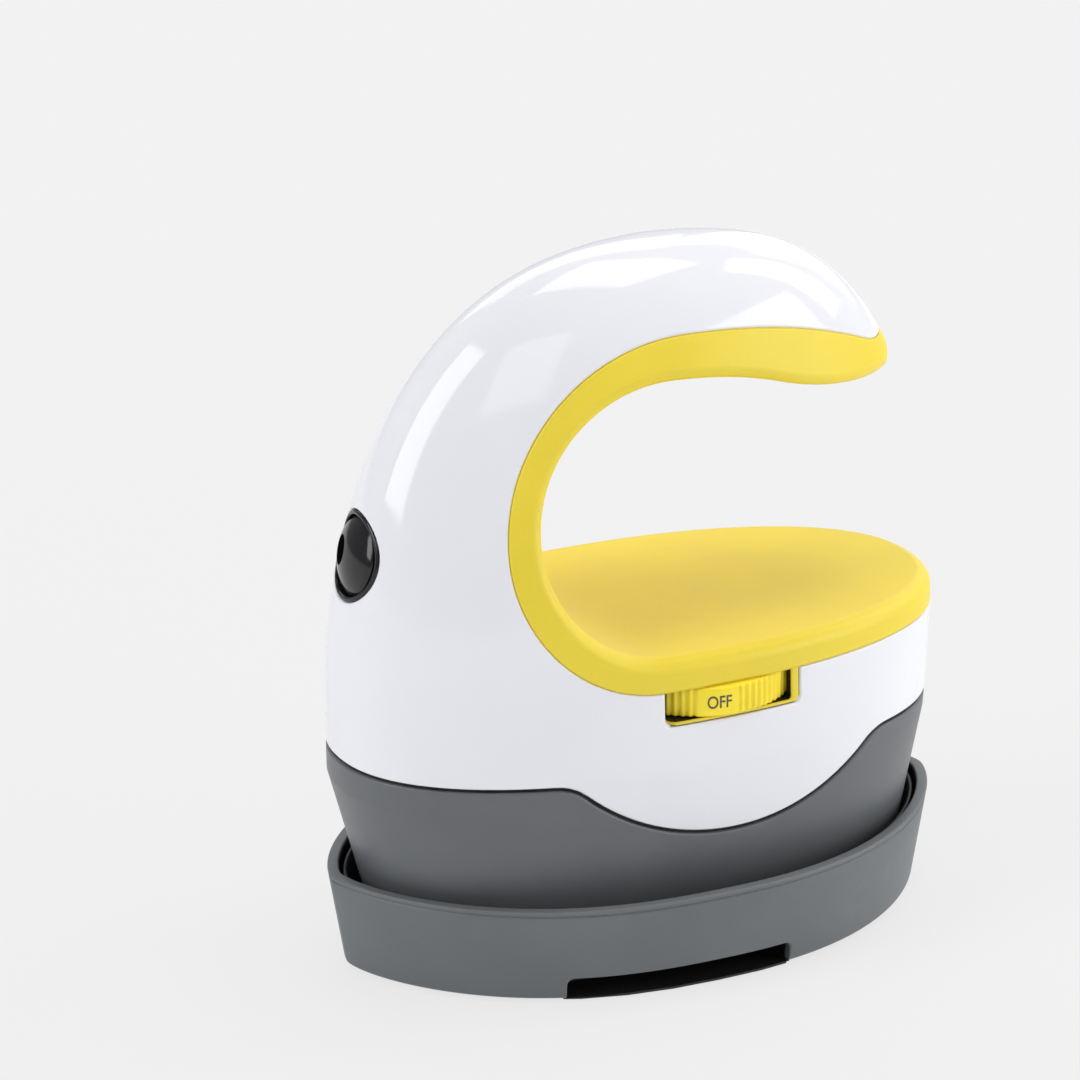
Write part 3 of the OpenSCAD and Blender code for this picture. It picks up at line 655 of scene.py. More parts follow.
def cap(faces, row, count, flip):
    """Closes a row of an oval stack with strips across it."""
    base = row * count
    for j in range(count // 2):
        c, d = base + (count - j - 1) % count, base + (count - j) % count
        corners = [base + j, base + j + 1, c, d]
        add_face(faces, corners[::-1] if flip else corners)


def rework(mesh, change):
    """Runs a change on a mesh's editable form."""
    made = bmesh.new()
    made.from_mesh(mesh)
    change(made)
    made.to_mesh(mesh)
    made.free()


def face_outward(made):
    bmesh.ops.recalc_face_normals(made, faces=made.faces)


def sharpen(obj, degrees):
    """Marks the edges that are sharper than this."""

    def mark(made):
        face_outward(made)
        for edge in made.edges:
            flat = len(edge.link_faces) == 2 and edge.calc_face_angle() < math.radians(degrees)
            edge.smooth = flat

    rework(obj.data, mark)


def paint(obj, material, chosen):
    """Gives a second material to the faces whose middles are chosen."""
    mesh = obj.data
    mesh.materials.append(material)
    middles = np.array([polygon.center for polygon in mesh.polygons]) / MM
    for polygon, pick in zip(mesh.polygons, chosen(middles)):
        polygon.material_index = int(pick)


def cut_away(obj, points, faces):
    """Takes a closed cutter out of an object."""
    mesh = mesh_of("cutter", points, faces)
    rework(mesh, face_outward)
    tool = linked("cutter", mesh)
    modifier = obj.modifiers.new("cut", "BOOLEAN")
    modifier.operation, modifier.solver, modifier.object = "DIFFERENCE", "EXACT", tool
    graph = bpy.context.evaluated_depsgraph_get()
    result = bpy.data.meshes.new_from_object(obj.evaluated_get(graph))
    obj.modifiers.clear()
    old, obj.data = obj.data, result
    bpy.data.meshes.remove(old)
    bpy.data.objects.remove(tool)
    bpy.data.meshes.remove(mesh)


# ---------------------------------------------------------------- shader maths


class Value:
    """A socket of a node tree. Expressions on it add Math nodes."""

    def __init__(self, finish, socket):
        self.finish, self.socket = finish, socket

    def _math(self, operation, *terms):
        return self.finish.node("ShaderNodeMath", {"operation": operation}, dict(enumerate(terms)))

    def __add__(self, other):
        return self._math("ADD", self, other)

    def __mul__(self, other):
        return self._math("MULTIPLY", self, other)

    def __sub__(self, other):
        return self._math("SUBTRACT", self, other)

    def __rsub__(self, other):
        return self._math("SUBTRACT", other, self)

    __radd__, __rmul__ = __add__, __mul__

    def above(self, level):
        return self._math("GREATER_THAN", self, level)

    def sine(self):
        return self._math("SINE", self)

    def range(self, low, high, to_low=0.0, to_high=1.0):
        """Maps low..high to to_low..to_high and clamps."""
        sockets = dict(zip(("Value", "From Min", "From Max", "To Min", "To Max"),
                           (self, low, high, to_low, to_high)))
        return self.finish.node("ShaderNodeMapRange", {"clamp": True}, sockets)

    def mid(self, to_low=0.0, to_high=1.0):
        """Maps the middle stretch of a noise, where most of it lies."""
        return self.range(0.3, 0.7, to_low, to_high)


class Finish:
    """A material with one Principled shader, whose constants are set on its own sockets."""

    def __init__(self, name, **constants):
        self.material = bpy.data.materials.new(name)
        self.material.use_nodes = True
        self.tree = self.material.node_tree
        self.tree.nodes.clear()
        self.shader = self.tree.nodes.new("ShaderNodeBsdfPrincipled")
        self.output = self.tree.nodes.new("ShaderNodeOutputMaterial")
        self.tree.links.new(self.shader.outputs["BSDF"], self.output.inputs["Surface"])
        for key, value in constants.items():
            self.set(key.title().replace("Ior", "IOR"), value)

    def node(self, kind, settings=None, sockets=None, output=0):
        """Adds a node: its settings first, then its sockets. Gives one of its outputs."""
        made = self.tree.nodes.new(kind)
        for key, value in (settings or {}).items():
            setattr(made, key, value)
        for key, value in (sockets or {}).items():
            self._feed(made.inputs[key], value)
        return Value(self, made.outputs[output])

    def _feed(self, socket, value):
        if isinstance(value, Value):
            self.tree.links.new(value.socket, socket)
        elif hasattr(value, "__len__") and len(value) == 3 and socket.type == "RGBA":
            socket.default_value = (*value, 1.0)
        else:
            socket.default_value = value

    def set(self, name, value):
        self._feed(self.shader.inputs[name], value)

    def place(self, scale=(1.0, 1.0, 1.0), turn=(0.0, 0.0, 0.0)):
        """The point on the object in millimetres, stretched and turned."""
        at = self.node("ShaderNodeTexCoord", output="Object")
        stretch = [s / MM for s in scale]
        return self.node("ShaderNodeMapping", None, {"Vector": at, "Rotation": turn, "Scale": stretch})

    def noise(self, place, size, detail=2.0, rough=0.5):
        """Noise whose features are about size millimetres across, from 0 to 1."""
        sockets = {"Vector": place, "Scale": 1.0 / size, "Detail": detail, "Roughness": rough}
        return self.node("ShaderNodeTexNoise", None, sockets)

    def cells(self, place, size, output=0):
        sockets = {"Vector": place, "Scale": 1.0 / size}
        return self.node("ShaderNodeTexVoronoi", None, sockets, output)

    def axis(self, place, letter):
        return self.node("ShaderNodeSeparateXYZ", None, {"Vector": place}, letter)

    def mix(self, factor, first, second):
        """Mixes two colours."""
        sockets = {0: factor, 6: first, 7: second}
        return self.node("ShaderNodeMix", {"data_type": "RGBA"}, sockets, 2)

    def tone(self, factor, base, low, high):
        """A colour that wanders between two brightnesses of the base."""
        return self.mix(factor, shade(base, low), shade(base, high))

    def done(self, colour, rough, height, depth, strength):
        """Sets the colour, the roughness and a relief, depth millimetres deep. Gives the material."""
        self.set("Base Color", colour)
        self.set("Roughness", rough)
        sockets = {"Height": height, "Distance": depth * MM, "Strength": strength}
        self.set("Normal", self.node("ShaderNodeBump", None, sockets))
        return self.material


def shade(base, factor):
    return tuple(min(1.0, c * factor) for c in base)


# ---------------------------------------------------------------- finishes of the mouldings


def gloss_plastic(name, base):
    """Gloss moulded ABS: a faint ripple of the mould, fine haze and a little dust."""
    f = Finish(name, ior=1.5)
    p = f.place()
    haze, dust = f.noise(p, 26.0, 3.0, 0.55), f.noise(p, 0.9, 2.0, 0.6)
    specks = f.cells(p, 5.5).range(0.035, 0.02) * dust.range(0.45, 0.62)
    colour = f.mix(specks * 0.10, f.tone(haze.mid(), base, 0.985, 1.01), shade(base, 0.55))
    rough = haze.range(0.3, 0.75, 0.065, 0.095) + dust.range(0.4, 0.9, 0.0, 0.05)
    return f.done(colour, rough, f.noise(p, 7.0, 1.0, 0.4) + f.noise(p, 0.35, 1.0) * 0.02, 0.030, 0.45)


def grip_plastic(name, base):
    """Satin grip moulding with a fine spark-eroded grain, a little worn along its heights."""
    f = Finish(name, ior=1.42)
    p = f.place()
    grain, cloud = f.noise(p, 0.34, 2.0, 0.55), f.noise(p, 18.0, 3.0)
    edge = f.node("ShaderNodeNewGeometry", output="Pointiness").range(0.505, 0.53)
    pits = grain.range(0.36, 0.50, 0.25, 0.0)
    colour = f.mix(pits * 0.45, f.tone(cloud.mid(), base, 0.97, 1.025), shade(base, 0.80))
    rough = cloud.mid(0.40, 0.47) + grain.mid(-0.02, 0.03) - edge * 0.04
    return f.done(colour, rough, grain, 0.016, 0.55)


def dial_plastic(name, base):
    """Half-gloss dial moulding with the fine lines of its turned mould, and painted shade that darkens its
    hollows, such as the valleys between the ribs.
    """
    f = Finish(name, ior=1.48)
    lines, cloud = f.noise(f.place((0.12, 0.12, 9.0)), 1.0, 1.0), f.noise(f.place(), 4.0)
    # painted shade: hollow places, found by pointiness, are darkened towards a darker yellow
    low = f.node("ShaderNodeNewGeometry", output="Pointiness").range(0.50, 0.475)
    colour = f.mix(low * 0.22, f.tone(cloud.mid(), base, 0.96, 1.03), shade(base, 0.55))
    return f.done(colour, cloud.mid(0.30, 0.38) + lines.mid(0.0, 0.04), lines, 0.010, 0.4)


def textured_plastic(name, base, gloss=0.42, grain_size=0.42, depth=0.022):
    """Leather-like eroded texture of dark mouldings, with rubbed spots."""
    f = Finish(name, ior=1.48)
    p = f.place()
    grain, pebble = f.noise(p, grain_size, 3.0, 0.6), f.cells(p, grain_size * 1.6)
    cloud = f.noise(p, 22.0, 3.0, 0.55)
    rub = f.noise(p, 7.0, 4.0, 0.65).range(0.58, 0.72)
    fine = grain.range(0.35, 0.65)
    tone = f.mix(fine * 0.16, f.tone(cloud.mid(), base, 0.93, 1.06), shade(base, 1.28))
    rough = cloud.mid(gloss, gloss + 0.06) - rub * 0.05 + fine * 0.04
    return f.done(f.mix(rub * 0.10, tone, shade(base, 1.35)), rough, grain * 0.6 + pebble * 0.4, depth, 0.6)


def rubber(name, base, size=0.5):
    """Matt rubber or silicone with a dusty bloom."""
    f = Finish(name, ior=1.42)
    p = f.place()
    grain = f.noise(p, size, 3.0, 0.7)
    bloom = f.noise(p, 6.0, 4.0, 0.7).range(0.4, 0.75)
    colour = f.mix(bloom * 0.35, f.tone(grain, base, 0.8, 1.2), (0.10, 0.10, 0.10))
    return f.done(colour, bloom.range(0.0, 1.0, 0.62, 0.80), grain, 0.03, 0.6)


def black_gloss(name, base):
    """Polished black cap with a few hairline scuffs."""
    f = Finish(name, ior=1.5)
    scuff = f.noise(f.place((1.0, 0.15, 1.0), (0.3, 0.5, 0.8)), 0.35, 2.0).range(0.66, 0.72)
    cloud = f.noise(f.place(), 9.0)
    colour = f.mix(scuff * 0.25, base, (0.03, 0.03, 0.032))
    return f.done(colour, cloud.mid(0.09, 0.15) + scuff * 0.15, cloud, 0.02, 0.3)


# ---------------------------------------------------------------- finishes of the inner parts


def drawn_metal(name, base, along=(0.05, 1.0, 1.0), rough=0.28, stain=(0.30, 0.24, 0.18), dirt=0.25):
    """Metal with drawing or rolling lines and a thin stain."""
    f = Finish(name, metallic=1.0)
    lines = f.noise(f.place(along), 0.22, 2.0, 0.6)
    cloud = f.noise(f.place(), 5.0, 4.0, 0.6).range(0.42, 0.75)
    colour = f.mix(cloud * dirt, f.tone(lines, base, 0.86, 1.08), stain)
    return f.done(colour, lines.range(0.2, 0.8, rough, rough + 0.14) + cloud * 0.12, lines, 0.012, 0.5)


def plate_coating(name):
    """Hard anodised sole plate: fine peel, burnished where fabric slides over it."""
    f = Finish(name, metallic=0.35, ior=1.6)
    p = f.place()
    peel, cloud = f.noise(p, 0.7), f.noise(p, 14.0, 3.0)
    slide = f.noise(f.place((0.06, 1.0, 1.0)), 0.8, 3.0, 0.6)
    tone = f.mix(cloud.mid(), (0.060, 0.058, 0.056), (0.090, 0.087, 0.084))
    colour = f.mix(slide.range(0.62, 0.75) * 0.4, tone, (0.17, 0.165, 0.16))
    rough = peel.mid(0.30, 0.40) - slide.range(0.5, 0.8, 0.0, 0.08)
    return f.done(colour, rough, peel * 0.7 + slide * 0.3, 0.018, 0.5)


def mica_board(name):
    """Pressed mica: overlapping flakes with a pearly gloss."""
    f = Finish(name, ior=1.58)
    p = f.place((1.0, 1.0, 3.0))
    tint = f.axis(f.cells(p, 2.6, "Color"), "X")
    fine = f.noise(p, 0.8, 4.0, 0.65)
    tone = f.mix(tint, (0.36, 0.27, 0.15), (0.55, 0.45, 0.29))
    colour = f.mix(fine.range(0.5, 0.75) * 0.5, tone, (0.72, 0.64, 0.48))
    return f.done(colour, tint.range(0.0, 1.0, 0.28, 0.55), tint * 0.5 + fine * 0.5, 0.06, 0.6)


def bakelite(name, base):
    """Phenolic moulding with pale filler flecks."""
    f = Finish(name, ior=1.55)
    p = f.place()
    cloud = f.noise(p, 2.5, 3.0)
    fleck = f.cells(p, 0.55).range(0.16, 0.08)
    colour = f.mix(fleck * 0.35, f.tone(cloud, base, 0.8, 1.2), (0.16, 0.13, 0.10))
    return f.done(colour, cloud.mid(0.32, 0.5), f.noise(p, 0.3), 0.015, 0.5)


def circuit(name):
    """Green solder mask over copper tracks, with glass weave under it and tinned pads."""
    f = Finish(name, ior=1.5)
    p = f.place()
    tracks = f.noise(f.place((0.18, 1.0, 1.0)), 1.4, 0.0)
    lane = tracks.range(0.485, 0.50) - tracks.range(0.52, 0.535)
    weave = (f.axis(p, "X") * 7.0).sine() * (f.axis(p, "Y") * 7.0).sine()
    pads = f.cells(f.node("ShaderNodeVectorMath", {"operation": "SNAP"}, {0: p, 1: (2.54,) * 3}), 40.0)
    dots = f.cells(p, 4.2).range(0.17, 0.13)
    mask = f.mix(lane, (0.010, 0.075, 0.028), (0.022, 0.155, 0.055))
    mask = f.mix(weave.range(-1.0, 1.0, 0.0, 0.12), mask, (0.05, 0.16, 0.07))
    colour = f.mix(dots * pads.range(0.2, 0.9, 0.6, 1.0), mask, (0.62, 0.62, 0.60))
    f.set("Metallic", dots)
    rough = dots.range(0.0, 1.0, 0.26, 0.34) + lane * 0.05
    return f.done(colour, rough, lane * 0.7 + dots + weave * 0.08, 0.045, 0.7)


def moulded_part(name, base, print_shade=None, gloss=0.35):
    """Small moulded component, with fine grain and, if wanted, worn print bands."""
    f = Finish(name, ior=1.5)
    p = f.place()
    grain = f.noise(p, 0.3)
    colour = f.tone(f.noise(p, 3.5, 3.0).mid(), base, 0.88, 1.1)
    if print_shade:
        band = (f.axis(p, "Z") * 1.9).sine().range(0.90, 0.94)
        worn = f.noise(p, 0.25, 3.0, 0.7).range(0.35, 0.5)
        colour = f.mix(band * worn * 0.6, colour, print_shade)
    return f.done(colour, grain.mid(gloss, gloss + 0.12), grain, 0.015, 0.5)


def braided_sleeve(name, first, second, size=0.8):
    """Braided glass insulation in two shades, wound along the wire."""
    f = Finish(name, ior=1.45)
    p = f.place()
    x, y, z = (f.axis(p, letter) for letter in "XYZ")
    turn = 6.28 / size
    weave = ((z + x + y) * turn).sine() * ((z - x - y) * turn).sine()
    colour = f.mix(weave.range(-0.6, 0.6), first, second)
    return f.done(colour, weave.range(-1.0, 1.0, 0.5, 0.7), weave.range(-1.0, 1.0), 0.08, 0.7)


def two_leads(name):
    """Brown live lead on one side of the middle and blue neutral lead on the other."""
    f = Finish(name, ior=1.46)
    marks = f.noise(f.place((1.0, 1.0, 0.3)), 0.8, 3.0)
    brown = f.mix(marks, (0.10, 0.035, 0.012), (0.16, 0.06, 0.02))
    blue = f.mix(marks, (0.012, 0.045, 0.24), (0.02, 0.075, 0.36))
    colour = f.mix(f.axis(f.place(), "Y").above(0.0), brown, blue)
    return f.done(colour, marks.mid(0.33, 0.45), marks, 0.03, 0.5)


# ---------------------------------------------------------------- pieces of the press

# columns of faces along one side of the body
COLUMNS = 110


def heights(low, high, step):
    """Even heights."""
    return list(np.linspace(low, high, int(math.ceil((high - low) / step)) + 1))


def crowded_heights(low, crown, step):
    """Even heights, which crowd together near the crown."""
    bend, count = crown - 26.0, 24
    rise = [math.sin(math.pi / 2 * k / count) for k in range(1, count)]
    return heights(low, bend, step) + [bend + (crown - bend) * share for share in rise]


def over(level):
    """A measure of points: the height above a level."""
    return lambda point: point[:, 2] - level


def shell(sizes, rows, cuts, near_cuts=()):
    """The body's wall, cut on both sides and then on the near side, with rounded rims."""
    body = Body(sizes.crown)
    skin = Skin.half_round(body, rows, COLUMNS).trim(cuts, sizes.edge).whole()
    skin.trim(near_cuts, sizes.edge)
    point, normal = skin.points(), skin.normals()
    measure = lambda at: np.minimum.reduce([cut(at) for cut in (*cuts, *near_cuts)])
    slope = slope_of(measure, point, normal)
    outer, shading = rounded(point, normal, normal, slope, measure(point), sizes.edge)
    return thick(outer, shading, body.inner(skin.params, sizes.wall), normal, skin.faces)


def strip(body, rows, columns, cuts, depth):
    """What the cuts leave of the body's skin, with square edges."""
    skin = Skin.half_round(body, rows, columns)
    for cut in cuts:
        skin.keep(cut)
    skin.compact().whole()
    normal = skin.normals()
    return thick(skin.points(), normal, body.inner(skin.params, depth), normal, skin.faces)


def build_housing(sizes, material):
    """The white shell above the seam, with the dial's window and the outlet's hole."""
    outlet = lambda point: outlet_distance(Body(sizes.crown), point)
    cuts = [seam_measure(1, sizes.seam_gap / 2), BAND.measure(1, 0.10), outlet]
    made = shell(sizes, crowded_heights(28.0, sizes.crown, 1.3), cuts, [window_distance])
    make_object("housing_shell", made, material, "press", "housing")


def build_skirt(sizes, material):
    """The grey shell below the seam."""
    cuts = [seam_measure(-1, sizes.seam_gap / 2), over(Body.foot)]
    made = shell(sizes, heights(Body.foot, 46.0, 1.1), cuts)
    make_object("skirt_shell", made, material, "press", "skirt")


def build_gasket(sizes, material):
    """The dark strip that lies back in the seam."""
    reach = sizes.seam_gap / 2 + 0.25
    cuts = [seam_measure(1, -reach), seam_measure(-1, -reach)]
    made = strip(Body(sizes.crown, 0.75), heights(28.0, 46.0, 1.1), COLUMNS, cuts, 1.0)
    make_object("seam_strip", made, material, "press", "seam_gasket")


def build_grip(sizes, material):
    """The grip: side walls, the palm pad and the lining of the hand opening in one moulding."""
    hand = hand_contour(sizes.pad)
    edge, turn = sizes.edge * 0.8, sizes.grip_round
    inside, open_side = BAND.measure(-1, 0.03), hand.measure(1)
    skin = Skin.half_round(Body(sizes.crown), heights(59.0, 127.0, 1.3), COLUMNS)
    skin.keep(inside).keep(open_side)
    skin.rings(inside, edge, 3).rings(open_side, turn, 7)
    skin.compact().whole()
    flat, normal = skin.points(), skin.normals()
    gap, width = open_side(flat), inside(flat)
    point, shading = rounded(flat, normal, normal, slope_of(inside, flat, normal), width, edge)
    away = hand.slope(flat)
    level = normal - away * np.sum(normal * away, axis=1, keepdims=True)
    level /= np.linalg.norm(level, axis=1, keepdims=True)
    local = np.clip((gap + width) * 0.55, 0.1, turn)
    near = (gap < local)[:, None]
    rolled, turned = rounded(point, shading, level, away, gap, local)
    point, shading = np.where(near, rolled, point), np.where(near, turned, shading)
    rim = [
        (a, b) for a, b in rim_edges(skin.faces)
        if gap[a] + gap[b] < min(0.3, width[a] + width[b]) and flat[a][1] + flat[b][1] > 1e-6
    ]
    point, shading, faces = line_hand(skin, point, shading, rim, away)
    made = thick(point, shading, point - shading * (sizes.wall * 0.8), shading, faces)
    make_object("grip", made, material, "press", "grip_liner")


def build_tongue(sizes, material):
    """The grip's tongue that closes the joint between grip and housing from behind."""
    half = 0.5
    cuts = [BAND.measure(1, -half), BAND.measure(-1, -half), over(59.32)]
    made = strip(Body(sizes.crown, 0.42), heights(58.6, 127.0, 0.9), 130, cuts, 0.6)
    make_object("grip_tongue", made, material, "press")


def line_hand(skin, point, shading, rim, away, strips=18):
    """Adds the face of the hand opening: strips from each rim edge to its mirrored twin."""
    faces = list(skin.faces)
    rows, points, normals = {}, [point], [shading]
    count = len(point)
    share = np.linspace(0, 1, strips + 1)[1:-1, None]
    for i in sorted({i for pair in rim for i in pair}):
        other = int(skin.twin[i])
        if other == i:
            rows[i] = [i] * (strips + 1)
            continue
        points.append(point[i] + (point[other] - point[i]) * share)
        normals.append(np.repeat(-away[i][None], strips - 1, axis=0))
        rows[i] = [i, *range(count, count + strips - 1), other]
        count += strips - 1
    for a, b in rim:
        first, second = rows[a], rows[b]
        for k in range(strips):
            add_face(faces, [first[k], first[k + 1], second[k + 1], second[k]])
    return np.vstack(points), np.vstack(normals), faces


def arc_points(cx, cz, radius, start, stop, steps=5):
    """Points along an arc, with its angles in degrees."""
    turn = np.radians(np.linspace(start, stop, steps + 1))
    return [(cx + radius * math.cos(a), cz + radius * math.sin(a)) for a in turn]


def rounded_path(half, right, low, top, radius):
    """A U in the side view: down its left leg, along its floor and up its right leg."""
    middle = (top + low) / 2
    line = [(-half, top), (-half, middle)]
    line += arc_points(radius - half, low + radius, radius, 180, 270, 6)
    line += [(x, low) for x in np.linspace(radius - half, right - radius, 26)[1:-1]]
    line += arc_points(right - radius, low + radius, radius, 270, 360, 6)
    return np.array(line + [(right, middle), (right, top)]) + (DIAL_X, 0.0)


def build_window_frame(sizes, material, dark):
    """The grip's thin frame inside the dial's window, with painted shade in its depth: the faces behind its
    lit front get the black material.
    """
    body = Body(sizes.crown, 0.30)
    half, sill, top, corner = 14.12, 52.72, 60.6, 1.15
    thickness, leg, soft = 0.55, 1.65, 0.18
    depth_to, lit_depth, clearance = -22.4, 0.45, 0.22
    ramp = 2.2

    def front(x, z):
        recess = 1.7 * ease((DIAL_X - half + ramp - x) / ramp)
        return recess - body.half(x, np.minimum(z, 59.5))

    def path(shrink):
        right = half - shrink * leg / thickness
        return rounded_path(half - shrink, right, sill + shrink, top, max(corner - shrink, 0.5))

    beside_dial = path(thickness)[:, 1] > DIAL_Z[0] - 0.1
    rows = []
    for shrink, back in (
        (0.0, None), (0.0, soft), (soft * 0.3, soft * 0.3), (soft, 0.0),
        (thickness - soft, 0.0), (thickness - soft * 0.3, soft * 0.3), (thickness, soft),
        (thickness, lit_depth), (thickness, None),
    ):
        x, z = path(shrink).T
        reach = np.sqrt((sizes.dial_radius + clearance) ** 2 - (x - DIAL_X) ** 2)
        beside = np.maximum(DIAL_Y - reach, front(x, z) + lit_depth + 0.05)
        deep = np.where(beside_dial, np.minimum(beside, depth_to), depth_to)
        rows.append(np.column_stack([x, deep if back is None else front(x, z) + back, z]))
    made = make_object("window_frame", bar(rows), material, "press")
    # painted shade: the faces deeper than lit_depth behind the front get the black material, standing for
    # the shade in the window's depth
    paint(made, dark, lambda at: at[:, 1] - front(at[:, 0], at[:, 2]) > lit_depth + 0.03)
    sharpen(made, 50)


# number of plain patches, angles of the first, to the next and across one, and angle of a rib
PATCHES, FIRST_PATCH, PATCH_STEP, PATCH_ANGLE, RIB_PITCH = 4, -101.0, -60.0, 24.0, 4.5


def dial_radius(sizes, angle):
    """Radius of the dial's rim: plain patches with ribs between them."""
    depth = np.full(len(angle), sizes.rib_depth)
    for k in range(PATCHES):
        off = np.abs((angle - FIRST_PATCH - PATCH_STEP * k + 180.0) % 360.0 - 180.0)
        depth *= np.clip((off - PATCH_ANGLE / 2) / 0.6, 0.0, 1.0)
    valley = np.abs(np.cos(math.pi * ((angle - FIRST_PATCH - PATCH_ANGLE / 2) / RIB_PITCH))) ** 2.2
    return sizes.dial_radius - depth * valley


def build_dial(sizes, material):
    """The ribbed wheel with its bore."""
    angle = np.linspace(0.0, 360.0, 80 * 9, endpoint=False)
    turn = np.radians(angle)
    radius = dial_radius(sizes, angle)
    (low, high), soft, bore = DIAL_Z, 0.55, 3.02
    profile = [(bore, low), (radius - 4.0, low)]
    profile += arc_points(radius - soft, low + soft, soft, -90, 0)
    profile += arc_points(radius - soft, high - soft, soft, 0, 90)
    profile += [(radius - 4.0, high), (bore + 0.4, high), (bore, high - 0.4)]
    rows = [
        np.column_stack([DIAL_X + r * np.cos(turn), DIAL_Y + r * np.sin(turn), np.full(len(turn), z)])
        for r, z in profile
    ]
    made = make_object("dial", stack(rows, True), material, "dial", "dial_wheel")
    sharpen(made, 48)


def word_mesh(word):
    """A word in relief, lying flat: its vertices and faces."""
    curve = bpy.data.curves.new("lettering", "FONT")
    curve.body, curve.align_x, curve.align_y = word, "CENTER", "CENTER"
    curve.extrude, curve.offset = 0.012, 0.010
    text = linked("lettering", curve)
    mesh = bpy.data.meshes.new_from_object(text.evaluated_get(bpy.context.evaluated_depsgraph_get()))
    bpy.data.objects.remove(text)
    rework(mesh, lambda made: bmesh.ops.remove_doubles(made, verts=made.verts, dist=0.006))
    flat, faces = np.array([v.co for v in mesh.vertices]), [tuple(p.vertices) for p in mesh.polygons]
    bpy.data.meshes.remove(mesh)
    return flat, faces


def build_lettering(sizes, material):
    """OFF and the numbers of the settings, printed on the plain patches of the dial."""
    off_width, letter_z, proud, sunk = 4.7, 56.35, 0.045, 0.12
    for k, word in enumerate(("OFF", "1", "2", "3")):
        flat, faces = word_mesh(word)
        low, high = flat.min(axis=0), flat.max(axis=0)
        size, mid = high - low, (high + low) / 2
        wide = off_width if word == "OFF" else sizes.letter * size[0] / size[1]
        x = (flat[:, 0] - mid[0]) / size[0] * wide
        z = (flat[:, 1] - mid[1]) / size[1] * sizes.letter + letter_z
        out = sizes.dial_radius + np.where(flat[:, 2] > 0, proud, -sunk)
        angle = np.radians(FIRST_PATCH + PATCH_STEP * k) + x / sizes.dial_radius
        where = np.column_stack([DIAL_X + out * np.cos(angle), DIAL_Y + out * np.sin(angle), z])
        name = "dial_print_" + word.lower()
        make_object(name, (where, faces), material, "dial", smooth=False)


def lathe(profile, start, axis, sides=96):
    """Turns a closed profile of (radius, height) round an axis."""
    side = np.cross(axis, (0.0, 1.0, 0.0))
    side /= np.linalg.norm(side)
    other = np.cross(axis, side)
    turns = [2 * math.pi * k / sides for k in range(sides)]
    points, rings, faces = [], [], []
    for radius, height in profile:
        around = turns if radius else turns[:1]
        ring = [len(points) + k for k in range(len(around))]
        rings.append(ring if radius else ring * sides)
        for a in around:
            points.append(start + axis * height + radius * (math.cos(a) * side + math.sin(a) * other))
    for first, second in zip(rings, rings[1:] + rings[:1]):
        for k in range(sides):
            n = (k + 1) % sides
            add_face(faces, [first[k], first[n], second[n], second[k]])
    return np.array(points), faces


def build_outlet(sizes, material):
    """The outlet's ring, whose lip follows the housing, and the capped swivel with its bore."""
    body = Body(sizes.crown)
    start, axis = outlet_frame(body)
    seat, hole = 6.25, 8.62
    flange = [(seat, -8.0), (10.5, -8.0), (10.5, -6.6), (hole, -6.6), (hole, -3.0)]
    lip = [(hole, -0.35), (8.55, -0.15), (8.35, -0.05), (7.95, -0.05), (7.8, -0.15), (7.7, -0.35)]
    points, faces = lathe(flange + lip + [(7.7, -3.2), (7.7, -5.0), (seat, -5.0)], start, axis)
    raised = slice(96 * len(flange), 96 * len(flange + lip))
    points[raised] += axis * outlet_rise(body, points[raised], axis)[:, None]
    made = make_object(
        "outlet_bezel", (points, faces), material, "press", "outlet_ring"
    )
    sharpen(made, 45)
    rise, head, brim, soft = 2.0, 7.45, 1.35, 0.35
    cap_radius = (head**2 + rise**2) / (2 * rise)
    profile = [
        (r, rise - brim - cap_radius + math.sqrt(cap_radius**2 - r * r))
        for r in np.linspace(0.0, head - 0.5, 14)
    ]
    profile += arc_points(head - soft, -brim - soft, soft, 60, 0)
    profile += [(head, -4.9), (6.2, -4.9), (6.2, -8.2), (5.5, -8.2), (5.5, -9.5), (6.2, -9.5)]
    profile += [(6.2, -13.0), (0.0, -13.0)]
    turned = lathe(profile[::-1], start, axis)
    made = make_object("swivel", turned, material, "swivel", "cord_swivel")
    tilt, bore = math.radians(15.0), 2.9
    lean = axis * math.cos(tilt) + np.array([0.0, 1.0, 0.0]) * math.sin(tilt)
    hole = [(0.0, -6.0), (bore, -6.0), (bore, 24.0), (0.0, 24.0)]
    cut_away(made, *lathe(hole, start - axis * 13.0, lean, 48))
    sharpen(made, 35)


# ---------------------------------------------------------------- tray


class Tray:
    """Outline of the tray at a height, a pointed oval that can be drawn in."""

    half_length, half_width, rim, lift, flare = 63.2, 39.5, 20.2, 0.8, 3.2
    p, q, middle, columns = 2.41, 0.7, -0.8, 240

    @classmethod
    def draw(cls, z, inset):
        return inset + cls.flare * (cls.rim - z) / (cls.rim - cls.lift)

    @classmethod
    def row(cls, z, inset):
        """The outline at a height, anticlockwise from its front tip."""
        d = cls.draw(z, inset)
        angle = np.arange(cls.columns) * 2 * math.pi / cls.columns
        c, s = np.cos(angle), np.sin(angle)
        y = (cls.half_width - d) * np.maximum(0.0, 1 - np.abs(c) ** cls.p) ** cls.q * np.sign(s)
        y = np.where(np.abs(s) < 1e-9, 0, y)
        x = cls.middle + (cls.half_length - d) * c
        return np.column_stack([x, y, np.full(len(x), float(z))])

    @classmethod
    def half(cls, x, z, inset=0.0):
        """Half width of the tray at a place along it."""
        d = cls.draw(z, inset)
        u = np.abs((x - cls.middle) / (cls.half_length - d))
        return (cls.half_width - d) * np.maximum(0.0, 1 - np.minimum(u, 1.0) ** cls.p) ** cls.q

    @classmethod
    def moulding(cls, profile):
        """A closed moulding from (inset, height) rows, with its first and last rows closed across."""
        points, faces = stack([cls.row(z, inset) for inset, z in profile], False)
        cap(faces, 0, cls.columns, True)
        cap(faces, len(profile) - 1, cls.columns, False)
        return points, faces


